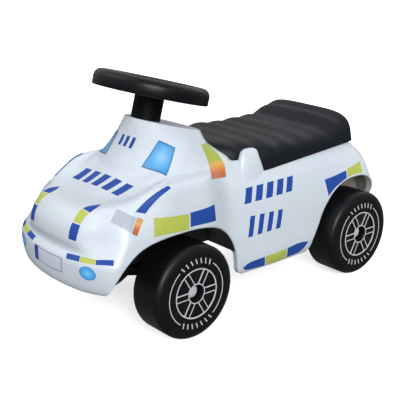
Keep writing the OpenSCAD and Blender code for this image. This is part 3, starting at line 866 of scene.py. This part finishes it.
# %% [markdown]
# ## The saddle
# The saddle is one black moulding. Its section across the car is a superellipse, upright at the skirt and
# flat on top. Along the car the crest dips for the rider and rises to a low back that leans in, with broad
# ribs across. In front it lies on the shell: a grown copy of the shell is cut out of it, and a notch on
# each side fits round the lug.

# %% Make the saddle
SEAT_FROM = -58
SEAT_TO = 251
SEAT_HALF = 97
SEAT_WIDTH_AT = (-60, -10, 40)
SEAT_WIDTHS = (56, 84, SEAT_HALF)
SEAT_ROUND = 25.5
SEAT_POWER = 4.5
CREST_AT = (-40, 20, 100, 174, 207, 231, 252)
CREST_Z = (258, 253, 247.5, 247, 261.5, 267.6, 260)
RIB_FROM = -14
RIB_TO = 180
RIBS = 5
RIB_HIGH = 2.6
BACK_POWER = 2.5
BACK_DRAFT = 0.05
BACK_LEAN = 6.5
DRAFT_FROM = 150
LEAN_FROM = 205
GAP = 0.5


def saddle_points(stations=200, arc=44):
    """Saddle sections: half width from smooth steps closing in a superellipse at the back, height of the
    crest with a cosine wave for the ribs, and a superellipse between them. The back leans in as it rises."""
    y = np.linspace(SEAT_FROM, SEAT_TO, stations)[:, None]
    end = np.clip((y - SEAT_TO + SEAT_ROUND - 0.6)/SEAT_ROUND, 0, 1)
    half = along(y, SEAT_WIDTH_AT, SEAT_WIDTHS)*(1 - end**BACK_POWER)**(1/BACK_POWER)
    wave = RIB_HIGH*(1 - np.cos(2*np.pi*RIBS*(y - RIB_FROM)/(RIB_TO - RIB_FROM)))/2
    crest = along(y, CREST_AT, CREST_Z) + np.where((y > RIB_FROM) & (y < RIB_TO), wave, 0)
    a = np.linspace(0, np.pi, 2*arc + 1)[None, :]
    low = seat_level(y)
    rise = np.abs(np.sin(a))**(2/SEAT_POWER)
    x = half*power(np.cos(a), 2/SEAT_POWER)*(1 - BACK_DRAFT*ease(DRAFT_FROM, SEAT_TO, y)*rise)
    z = low + (crest - low)*rise
    return np.stack([x, y - BACK_LEAN*ease(LEAN_FROM, SEAT_TO, y)*rise, z], -1)


seat = closed_object("saddle_moulding", saddle_points(), SEAT_PP)
shell_space = shell_block("shell_space", GAP)[1]
start, end = FRONT - 50, SKIRT_Y + GAP
ahead = [(start, 0), (end, 0), (end, TOOL_TOP), (start, TOOL_TOP)]
cut(shell_space, [prism("ahead", ahead, -TOOL_OUT, TOOL_OUT, 0)], "INTERSECT")
cut(seat, [shell_space] + lug_tools(GAP))
one_finish(seat.data, SEAT_PP)
shade(seat.data, 40)
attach(seat, "body")
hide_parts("seat")
print("saddle:", len(seat.data.polygons), "faces")

# %% [markdown]
# ## Wheels
# A wheel is turned from one section: hub, recess, face, rounded shoulders, tread and a hollow back. Between
# the spokes the face is sunk in pockets, so the section's height depends on the angle as well. That saves
# booleans.

# %% Turn a wheel
WHEEL_R = 71
FACE_X = 139.5
FACE_DOWN = 0.6
WHEEL_WIDE = 62
HUB_IN = 78.5
HUB_R = 20
BUSH_R = 8
RECESS_R = 13
RECESS_X = 123.5
SHOULDER = (14, 9)
BACK_R = 58
BACK_X = 131
POCKET = 3.0
SPOKES = 6
SPOKE_TURN = 0
SPOKE_WIDE = 10
WHEEL_STEPS = 360
POCKET_FROM = (15.2, 16.1)
POCKET_TO = (35.8, 36.7)


def wheel_section():
    """Closed section of the wheel as radius and distance from the middle of the car."""
    face = FACE_X - FACE_DOWN
    inner = FACE_X - WHEEL_WIDE
    a = np.radians(np.linspace(0, 90, 14))
    outer_arc = np.stack([WHEEL_R - SHOULDER[0]*(1 - np.sin(a)), face - SHOULDER[1]*(1 - np.cos(a))], -1)
    inner_arc = outer_arc[::-1]*(1, -1) + (0, face + inner)
    face_r = np.concatenate([np.arange(RECESS_R + 0.6, 40, 0.5), np.linspace(41, 56, 8)])
    face_line = np.stack([face_r, np.full(len(face_r), face)], -1)
    start = [(BUSH_R, HUB_IN), (BUSH_R, RECESS_X), (RECESS_R - 0.5, RECESS_X), (RECESS_R, RECESS_X + 0.5),
             (RECESS_R, face - 0.6)]
    tread = [(WHEEL_R, x) for x in np.linspace(face - SHOULDER[1] - 4, inner + SHOULDER[1] + 4, 6)]
    back = [(BACK_R + 0.6, inner), (BACK_R, inner + 0.6), (BACK_R, BACK_X - 1), (BACK_R - 1, BACK_X),
            (HUB_R + 1, BACK_X), (HUB_R, BACK_X - 1), (HUB_R, HUB_IN + 0.6), (HUB_R - 0.6, HUB_IN)]
    return np.concatenate([start, face_line, outer_arc, tread, inner_arc, back])


def about_axle(side, y0, r, x, turn):
    """Points at a radius and a distance from the middle of the car, at angles round the axle."""
    return np.stack([side*x + 0*turn, y0 + r*np.cos(turn), AXLE_Z + r*np.sin(turn)], -1)


def wheel_points(side, y0):
    """The section turned about the axle, with the pockets sunk between the spokes."""
    section = wheel_section()
    r = section[:, :1]
    x = section[:, 1:]
    a = full_turn(WHEEL_STEPS)[None, :]
    pitch = 2*np.pi/SPOKES
    from_spoke = (a - math.radians(SPOKE_TURN) + pitch/2) % pitch - pitch/2
    beside = r*np.abs(np.sin(from_spoke))
    sunk = ease(SPOKE_WIDE/2, SPOKE_WIDE/2 + 0.9, beside)*ease(*POCKET_FROM, r)*(1 - ease(*POCKET_TO, r))
    on_face = (x > FACE_X - 1) & (r < 40)
    return about_axle(side, y0, r, x - np.where(on_face, POCKET*sunk, 0), a)


print("points of a wheel's section:", len(wheel_section()))

# %% [markdown]
# A push-on cap of grey plastic hides the end of each axle. It is a disc with a domed edge, turned about the
# axle like the wheel.

# %% Turn an axle cap
CAP_R = 10.5
CAP_X = 124
CAP_FLAT_R = 4
CAP_WALL = 1.5
CAP_DOME = 5.5


def cap_points(side, y0):
    """The push-on cap: a disc whose edge and top are one quarter of an ellipse, turned about the axle."""
    a = np.radians(np.linspace(0, 86, 14))
    r = np.concatenate([[CAP_R - 0.6, CAP_R], CAP_FLAT_R + (CAP_R - CAP_FLAT_R)*np.cos(a), [2]])[:, None]
    top = CAP_WALL + CAP_DOME + 0.02
    x = CAP_X + np.concatenate([[0, 0.6], CAP_WALL + CAP_DOME*np.sin(a), [top]])[:, None]
    return about_axle(side, y0, r, x, full_turn(64)[None, :])


print("rings of a cap:", len(cap_points(1, 0)))

# %% [markdown]
# Silver foil is stamped on the raised lines of a wheel's face: a ring, the edges of the spokes, a ring
# round the hub and two arcs. Short strokes stand between the arcs, where the real tyre has words. Each line
# is a ribbon with a rounded top, because a flat picture wouldn't catch the light along its edges.

# %% Foil lines
RING_R = 38
HUB_LINE_R = 14.6
SPOKE_LINE = (14.2, 36.8)
ARC_R = 49.5
ARC_TURN = 52
STROKE_R = (45.5, 53.5)
STROKE_TURNS = np.linspace(-30, 30, 7)
STROKE_LEAN = 1.5
LINE_WIDE = 1.9
RING_WIDE = 2.4
STROKE_WIDE = 2.6


def foil_lines(side, y0):
    """Raised foil lines: each is a path in the face's plane, widened along its normal with a rounded top."""
    across = np.array([-1, -0.7, 0, 0.7, 1])
    rise = np.array([-0.6, 0.28, 0.45, 0.28, -0.6])
    top = FACE_X - FACE_DOWN

    def ribbon(path, wide):
        run = directions(path)
        normal = np.stack([-run[:, 1], run[:, 0]], -1)
        flat = path[:, None, :] + normal[:, None, :]*(across*wide/2)[None, :, None]
        x = np.broadcast_to(top + rise, flat.shape[:2])
        return np.stack([side*x, y0 + flat[..., 0], AXLE_Z + flat[..., 1]], -1)

    def arc(radius, start, end, count):
        a = np.radians(np.linspace(start, end, count))
        return radius*unit(a)

    def stroke(start, end):
        t = np.linspace(0, 1, 6)[:, None]
        return np.array(start)*(1 - t) + np.array(end)*t

    lines = [ribbon(arc(RING_R - 0.9, 0, 360, 181), RING_WIDE),
             ribbon(arc(HUB_LINE_R, 0, 360, 91), LINE_WIDE)]
    for middle in (0, 180):
        lines.append(ribbon(arc(ARC_R, middle - ARC_TURN, middle + ARC_TURN, 61), LINE_WIDE))
    for i in range(SPOKES):
        turn = math.radians(SPOKE_TURN + 360*i/SPOKES)
        forward = unit(turn)
        beside = np.array([-forward[1], forward[0]])
        for edge in (-1, 1):
            shift = beside*edge*(SPOKE_WIDE/2 - 0.5)
            start, end = (forward*r + shift for r in SPOKE_LINE)
            lines.append(ribbon(stroke(start, end), LINE_WIDE))
    for middle in (90, 270):
        for turn in middle + STROKE_TURNS:
            start = arc(STROKE_R[0], turn - STROKE_LEAN, turn, 2)[0]
            end = arc(STROKE_R[1], turn, turn + STROKE_LEAN, 2)[1]
            lines.append(ribbon(stroke(start, end), STROKE_WIDE))
    return lines


print("foil lines on a wheel:", len(foil_lines(1, 0)))

# %% [markdown]
# The wheel is made four times, so that each one rides on its own joint. The front caps ride on the
# steering, because the front axle turns with it.

# %% Put the wheels on
CORNERS = (("front_left", 1, FRONT_AXLE_Y), ("front_right", -1, FRONT_AXLE_Y),
           ("rear_left", 1, REAR_AXLE_Y), ("rear_right", -1, REAR_AXLE_Y))
for name, side, y0 in CORNERS:
    wheel = closed_object(name + "_wheel_moulding", wheel_points(side, y0), WHEEL_PP, ring=True)
    shade(wheel.data, 40)
    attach(wheel, name + "_road_wheel")
    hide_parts(name + "_wheel")
    cap = closed_object(name + "_cap_dome", cap_points(side, y0), CAP_PP)
    shade(cap.data, 50)
    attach(cap, "steering" if name.startswith("front") else "body")
    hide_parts(name + "_axle_cap")
    foil_mesh = join_grids(name + "_foil", foil_lines(side, y0))
    shade(foil_mesh, 50)
    if side > 0:
        foil_mesh.flip_normals()
    foil = add_object(name + "_foil_lines", foil_mesh, FOIL)
    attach(foil, name + "_road_wheel")
print("wheels:", len(CORNERS), "with", len(wheel.data.polygons), "faces each")

# %% [markdown]
# ## Steering wheel and column
# The rim is rounded on top and flat underneath, where the moulding is open to the fingers. Rim and hub are
# turned about the shaft; a spoke is a rounded section carried from the hub to the rim.

# %% Make the steering wheel
RIM_R = 86
RIM_WIDE = 23
RIM_HIGH = 19
RIM_LOW = 39
RIM_MORE = 2.6
ARM_FROM = 24
ARM_HALF = 13
ARM_UP = 7.5
ARM_HALF_HIGH = 3.5
ARM_SWELL = 0.18
COLUMN_R = 22
TURN_STEPS = 128


def turned(section):
    """A closed section of radius and height turned about the steering shaft."""
    section = np.asarray(section, float)
    a = full_turn(TURN_STEPS)[None, :]
    r = section[:, :1]
    return on_column(np.stack([r*np.cos(a), r*np.sin(a), section[:, 1:] + 0*a], -1))


def rim_section():
    """Half a circle on top, short sides, and an underside with small rounded corners."""
    half = RIM_WIDE/2
    middle = RIM_R - half
    a = np.radians(np.linspace(0, 180, 25))
    low = RIM_LOW - RIM_MORE
    top = RIM_LOW + RIM_HIGH + RIM_MORE
    crown = (middle, top - half) + half*unit(a)
    foot = [(middle - half, low + 1.4), (middle - half + 0.5, low + 0.4), (middle - half + 1.5, low),
            (middle + half - 1.5, low), (middle + half - 0.5, low + 0.4), (middle + half, low + 1.4)]
    return np.concatenate([crown, foot])


def hub_section():
    """Hub with a cone below, a short wall, a chamfered top and a recess for the screw, from RIM_LOW up."""
    steps = ((7.1, 0), (COLUMN_R, 0), (28, 6), (28, 11.4), (27.2, 12.6), (20.5, 14.8), (19, 15), (7.2, 15),
             (6.5, 14.4), (6.5, 11), (3.3, 11), (3.3, 9), (7.1, 9))
    return [(r, RIM_LOW + up) for r, up in steps]


def spoke_points(turn, count=24):
    """A spoke: a flat oval section that swells a little towards the hub and the rim."""
    t = np.linspace(0, 1, count)[:, None]
    a = full_turn(40)[None, :]
    far = ARM_FROM + t*(RIM_R - RIM_WIDE/2 - ARM_FROM)
    swell = 1 + ARM_SWELL*(2*t - 1)**2
    across = ARM_HALF*swell*power(np.cos(a), 0.5)
    up = RIM_LOW + ARM_UP + ARM_HALF_HIGH*power(np.sin(a), 0.6)
    cos, sin = unit(turn)
    return on_column(np.stack([far*cos - across*sin, far*sin + across*cos, up + 0*t], -1))


rim = closed_object("rim", turned(rim_section()), STEERING_PP, ring=True)
arms = [closed_object("hub", turned(hub_section()), STEERING_PP, ring=True)]
for turn in np.radians((90, 210, 330)):
    arms.append(closed_object("spoke", spoke_points(turn), STEERING_PP))
cut(rim, arms, "UNION")
rim.name = "steering_wheel_moulding"
shade(rim.data, 40)
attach(rim, "steering")
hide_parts("steering_wheel")
print("steering wheel:", len(rim.data.polygons), "faces")

# %% [markdown]
# The column is a plain thick tube round the shaft and turns with the wheel. One section makes it.

# %% Make the column
COLUMN_BORE = 7.05
COLUMN_LOW = 0.8
column_section = [(COLUMN_BORE, COLUMN_LOW), (COLUMN_R - 0.6, COLUMN_LOW), (COLUMN_R, COLUMN_LOW + 0.6),
                  (COLUMN_R, RIM_LOW), (COLUMN_BORE, RIM_LOW)]
column = closed_object("column_tube", turned(column_section), COLUMN_PP, ring=True)
shade(column.data, 40)
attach(column, "steering")
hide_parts("steering_column")
print("column:", len(column.data.polygons), "faces")

# %% [markdown]
# ## Stickers
# A sticker is a patch between two edges on the shell. Each edge is a smooth curve through a few points.
# Where the real sticker set has words and numbers, this car has rows of plain leaning strokes of the same
# size and colour.

# %% Patches


def smooth_edge(points, count):
    """A curve through the points: cubic Hermite with the mean of neighbouring steps as tangent."""
    p = np.asarray(points, float)
    if len(p) == 1:
        return np.repeat(p, count, 0)
    tangents = np.gradient(p, axis=0)
    at = np.linspace(0, len(p) - 1, count)
    i = np.minimum(at.astype(int), len(p) - 2)
    t = (at - i)[:, None]
    return hermite(p[i], tangents[i], p[i + 1], tangents[i + 1], t)


def patch(edge_a, edge_b, along_count=26, across_count=12):
    """Ruled patch: straight lines from one edge to the other."""
    a = smooth_edge(edge_a, along_count)[:, None, :]
    b = smooth_edge(edge_b, along_count)[:, None, :]
    v = np.linspace(0, 1, across_count)[None, :, None]
    return a*(1 - v) + b*v


def slanted_dashes(top_left, top_right, low_right, low_left, count, fill, lean):
    """Short leaning strokes in a row inside four corners: each takes a share of the row's pitch."""
    tl, tr, br, bl = (np.asarray(p, float) for p in (top_left, top_right, low_right, low_left))
    made = []
    for i in range(count):
        u0 = (i + (1 - fill)/2)/count
        u1 = (i + (1 + fill)/2)/count
        top = [tl + (tr - tl)*min(1, u + lean/count) for u in (u0, (u0 + u1)/2, u1)]
        low = [bl + (br - bl)*max(0, u - lean/count) for u in (u0, (u0 + u1)/2, u1)]
        made.append(patch(top, low, 8, 12))
    return made


print("points of a patch:", patch([(0, 0, 0)], [(1, 0, 0)]).shape[:2])

# %% [markdown]
# Real stickers follow the moulding. So a patch is laid on the shell with Shrinkwrap, a little proud of it,
# and given the thickness of vinyl. A picture on the shell itself would need image files and would have no
# edge.

# %% Lay a sticker
VINYL_PROUD = 0.3
VINYL_THICK = 0.18


def facing_out(grid):
    """The grid with its rows turned over if its middle face looks into the car."""
    r, c = grid.shape[0]//2, grid.shape[1]//2
    normal = np.cross(grid[r + 1, c] - grid[r, c], grid[r, c + 1] - grid[r, c])
    outwards = grid[r, c] - np.array([0, np.clip(grid[r, c, 1], -150, 200), 130])
    return grid if normal @ outwards < 0 else grid[:, ::-1]


def lay_stickers(name, grids, material, both_sides=True):
    """Lays patches on the shell as one piece with a UV map, on both sides of the car if asked."""
    if both_sides:
        grids = grids + [mirrored(g) for g in grids]
    turned_grids = [facing_out(g) for g in grids]
    mesh = join_grids(name, turned_grids)
    uv = []
    for grid, out in zip(grids, turned_grids):
        u, v = np.meshgrid(np.linspace(0, 1, grid.shape[0]), np.linspace(0, 1, grid.shape[1]), indexing="ij")
        v = v if out is grid else v[:, ::-1]
        uv.append(np.stack([u, v], -1).reshape(-1, 2))
    layer = mesh.uv_layers.new(name="sticker")
    corners = np.zeros(len(mesh.loops), np.int32)
    mesh.loops.foreach_get("vertex_index", corners)
    layer.data.foreach_set("uv", np.concatenate(uv)[corners].ravel().astype(np.float32))
    piece = add_object(name, mesh, material)
    wrap = piece.modifiers.new("wrap", "SHRINKWRAP")
    wrap.target = shell
    wrap.wrap_method = "NEAREST_SURFACEPOINT"
    wrap.wrap_mode = "ABOVE_SURFACE"
    wrap.offset = VINYL_PROUD*MM
    thick = piece.modifiers.new("thick", "SOLIDIFY")
    thick.thickness = VINYL_THICK*MM
    thick.offset = -1
    bake_modifiers(piece)
    shade(piece.data, 50)
    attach(piece, "body")


print("vinyl:", VINYL_THICK, "mm thick")

# %% [markdown]
# The stripes are the blue and yellow bands that rescue cars wear in many countries. Most patches are
# mirrored to the other side of the car. The far stripe on the hood is laid where the photograph shows it.

# %% Stripes
fender_yellow = patch([(114, -199, 191.5), (120, -173, 189), (120.5, -141.5, 186)],
                      [(118.5, -202.5, 166), (121, -175, 165), (121, -143, 163)])
fender_blue = patch([(120.5, -139.5, 187), (120.5, -117.5, 187), (117.5, -92.5, 188)],
                    [(121.5, -140, 166), (121, -118, 165), (118, -90, 163)])
nose_blue = patch([(45, -292, 165), (45, -284.5, 186.5)], [(59, -289, 164.5), (59.5, -281.5, 185.5)])
nose_yellow = patch([(45.5, -283, 188.5), (44.5, -276, 195), (43, -267, 200)],
                    [(59, -282, 187.5), (59.5, -275, 194), (60, -267.5, 199.5)])
nose_tip = patch([(43, -265.5, 201), (45, -255, 203), (52, -243, 205)],
                 [(60.5, -266, 200.5), (59, -255, 202.5), (53, -242.5, 205)])
bumper_in = patch([(41, -293, 143), (65, -287.5, 144.5)], [(45, -297, 137), (68.5, -292, 138.5)])
bumper_yellow = patch([(66, -287.5, 144.5), (91, -280, 145)], [(69.5, -292, 138.5), (95, -283, 140)])
bumper_out = patch([(91.5, -280, 145), (112.5, -265.5, 147.5)], [(95.5, -283, 140), (115.5, -268.5, 141)])
sill_front = patch([(111, -27, 69), (112.5, -13.5, 74.5), (114, 16, 76)],
                   [(110.5, -25.5, 66.5), (109, -15, 61.5), (109, 21, 59)])
sill_yellow = patch([(114, 18, 76), (115, 64, 78)], [(109, 23, 59), (110.5, 67.5, 60)])
sill_rear = patch([(115, 66, 78), (115.5, 93.5, 80), (115, 114, 77)],
                  [(110.5, 69.5, 60), (111.5, 98.5, 62), (115, 113, 74.5)])
rear_blue = patch([(109.5, 153.5, 172), (109.5, 178.5, 174), (109, 207, 177)],
                  [(114, 160.5, 144), (112.5, 180.5, 156), (111.5, 206.5, 165)])
rear_yellow = patch([(108.5, 210.5, 179), (108, 227, 182), (107, 244, 185)],
                    [(111.5, 208.5, 166), (111.5, 228, 167.5), (112, 246, 166)])
hood_stripe = patch([(103, -221.5, 202.5), (103.5, -208, 212), (106, -192, 221.5), (107.5, -168.5, 229)],
                    [(108.5, -209, 198.5), (109.5, -197.5, 209), (112, -184.5, 219), (112, -167, 226.5)])
far_stripe = patch([(-91, -227, 207.5), (-93.5, -212.5, 214.5), (-97, -198, 220.8), (-101, -168.5, 230)],
                   [(-99, -218, 203), (-101.5, -204.5, 211.5), (-105, -190.5, 219.5), (-108, -167, 228)])
lay_stickers("blue_stripes", [fender_blue, nose_blue, nose_tip, bumper_in, bumper_out, sill_front,
                              sill_rear, rear_blue], BLUE)
lay_stickers("yellow_stripes", [fender_yellow, nose_yellow, bumper_yellow, sill_yellow, rear_yellow], YELLOW)
lay_stickers("hood_stripes", [hood_stripe, far_stripe], BLUE, both_sides=False)
print("stripes laid")

# %% [markdown]
# Windows and lamps are stickers as well. The far window is laid where the photograph shows it, and the
# others are mirrored. A fog lamp is a disc whose inner edge is one point.

# %% Windows and lamps
FOG_AT = np.array([83.5, -288.5, 125.5])
FOG_HALF = (13, 5, 9.5)
window = patch([(46, -166.5, 241), (47, -150.5, 258), (47.5, -136, 275)],
               [(83, -152, 233.5), (75, -135.5, 250.5), (68, -123, 266.5)])
far_window = patch([(-36.5, -170.5, 243), (-32, -159.5, 260.5), (-25.5, -153.5, 277)],
                   [(-83, -152, 233.5), (-75, -135.5, 250.5), (-68, -123, 266.5)])
lamp = patch([(82.5, -236.5, 204.5), (98, -231.5, 201), (106, -223, 195)],
             [(87.5, -251.5, 191), (102, -245, 186), (112, -235.5, 178)])
blinker = patch([(106.5, -221, 195), (108, -217, 194), (110, -213.5, 191)],
                [(112, -234.5, 177.5), (113.5, -231.5, 174.5), (114.5, -228, 173)])
leaf = patch([(67.5, -75, 262.5), (73.5, -73.5, 253), (79, -72.5, 242), (86, -74, 230), (108.5, -91, 223)],
             [(58, -51, 259.5), (67.5, -49, 250), (76, -44, 239.5), (84.5, -42, 228.5), (90, -44.5, 213)],
             48, 20)
turns = np.linspace(0, 2*np.pi, 40)
fog_rim = FOG_AT + np.stack([np.cos(turns), np.cos(turns), np.sin(turns)], -1)*FOG_HALF
fog_lamp = patch(fog_rim, [FOG_AT], 60, 8)
lay_stickers("side_windows", [window, far_window], GLASS, both_sides=False)
lay_stickers("head_lamps", [lamp], LENS)
lay_stickers("blinkers", [blinker], BLINKER)
lay_stickers("tail_leaves", [leaf], LEAF)
lay_stickers("fog_lamps", [fog_lamp], FOG)
print("windows and lamps laid")

# %% [markdown]
# The number plate is empty, with a blue bar at its side. The rows of strokes stand on the doors, the hood
# and the front of the cab.

# %% Plate and strokes
plate = patch([(-24, -299.5, 135.5), (0, -301, 135), (36, -298.5, 135.5)],
              [(-24, -300, 114), (0, -301, 113), (36, -298.5, 114)])
plate_bar = patch([(-35, -299, 135.5), (-24.5, -299.5, 135.5)], [(-35, -299, 114), (-24.5, -300, 114)])
side_word = slanted_dashes((100, -20, 191), (104, 85, 192), (110, 83, 170), (105, -22, 168), 5, 0.62, 0.12)
side_number = slanted_dashes((107, -18, 148), (114, 56, 146), (115, 55, 117), (111, -20, 116), 4, 0.5, 0.14)
hood_word = slanted_dashes((-68, -190, 221), (60, -190, 221), (57, -212, 209.5), (-66, -213, 210),
                           5, 0.6, 0.12)
cab_number = slanted_dashes((-15, -156.5, 277), (22, -156, 277), (22, -163, 262), (-17, -163, 262),
                            3, 0.5, 0.12)
lay_stickers("number_plate", [plate], PLATE, both_sides=False)
lay_stickers("number_plate_bar", [plate_bar], BLUE, both_sides=False)
lay_stickers("side_strokes", side_word + side_number, BLUE)
lay_stickers("front_strokes", hood_word + cab_number, BLUE, both_sides=False)
print("plate and strokes laid")

# %% [markdown]
# ## Carried-over solids
# Axles, bushes, the shaft, the liner, the carrier and the screws are right as they come from the packed
# model. They only get their finish here.

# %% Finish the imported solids
NEW_SKIN = ("seat", "steering_wheel", "steering_column", "body_shell")
OWN_FINISH = {"front_liner": LINER_PP, "axle_carrier": COLUMN_PP}
for name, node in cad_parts.items():
    if name not in NEW_SKIN and not name.endswith(("_wheel", "_cap")):
        one_finish(node.data, NYLON if "bush" in name else OWN_FINISH.get(name, STEEL))
print("packed solids finished")

# %% [markdown]
# ## Studio
# The floor is pale and glows a little, as a light table in a catalogue picture does. It throws no light
# back on the car, so that the wheel openings stay dark.

# %% Floor
FLOOR_HALF = 40000
floor_mesh = add_mesh("floor", [(-FLOOR_HALF, -FLOOR_HALF, 0), (FLOOR_HALF, -FLOOR_HALF, 0),
                                (FLOOR_HALF, FLOOR_HALF, 0), (-FLOOR_HALF, FLOOR_HALF, 0)], [(0, 1, 2, 3)])
floor_paint, _, floor_shader = new_finish("white_light_table", Roughness=0.9, Emission_Strength=0.6)
floor_shader.inputs["Base Color"].default_value = linear("#fbfbfb")
floor_shader.inputs["Emission Color"].default_value = linear("#ffffff")
floor = add_object("floor", floor_mesh, floor_paint)
floor.visible_diffuse = False
floor.visible_glossy = False
print("floor ready")

# %% [markdown]
# The lights are large and soft: a broad low one from the front left, a weaker one from above on the right,
# a faint one from behind, and an even surround that darkens towards the ground. Suns do for this, because
# their softness is set by one angle.

# %% Lights


def soft_sun(name, towards, strength, spread):
    """Even light from one direction, softened by the angle in degrees that its source takes up."""
    lamp_data = bpy.data.lights.new(name, "SUN")
    lamp_data.energy = strength
    lamp_data.angle = math.radians(spread)
    light = bpy.data.objects.new(name, lamp_data)
    x, y, z = towards
    light.rotation_euler = (math.atan2(math.hypot(x, y), z), 0, math.atan2(y, x) + math.pi/2)
    light.location = [c*2 for c in towards]
    scene.collection.objects.link(light)


soft_sun("key", (0.8, -0.45, 0.42), 2.6, 30)
soft_sun("fill", (-0.6, -0.6, 1.0), 0.7, 50)
soft_sun("back", (-0.3, 0.9, 0.9), 0.45, 60)
world = bpy.data.worlds.new("surround")
scene.world = world
world.use_nodes = True
sky = world.node_tree
looking = add_node(sky, "ShaderNodeTexCoord")
height = add_node(sky, "ShaderNodeSeparateXYZ", {0: looking.outputs["Generated"]})
level = add_node(sky, "ShaderNodeMapRange", {"Value": height.outputs[2]},
                 {"From Min": -0.15, "From Max": 0.3, "To Min": 0.18, "To Max": 0.54})
sky.links.new(level.outputs["Result"], sky.nodes["Background"].inputs["Strength"])
sky.nodes["Background"].inputs["Color"].default_value = linear("#ffffff")
print("studio ready")
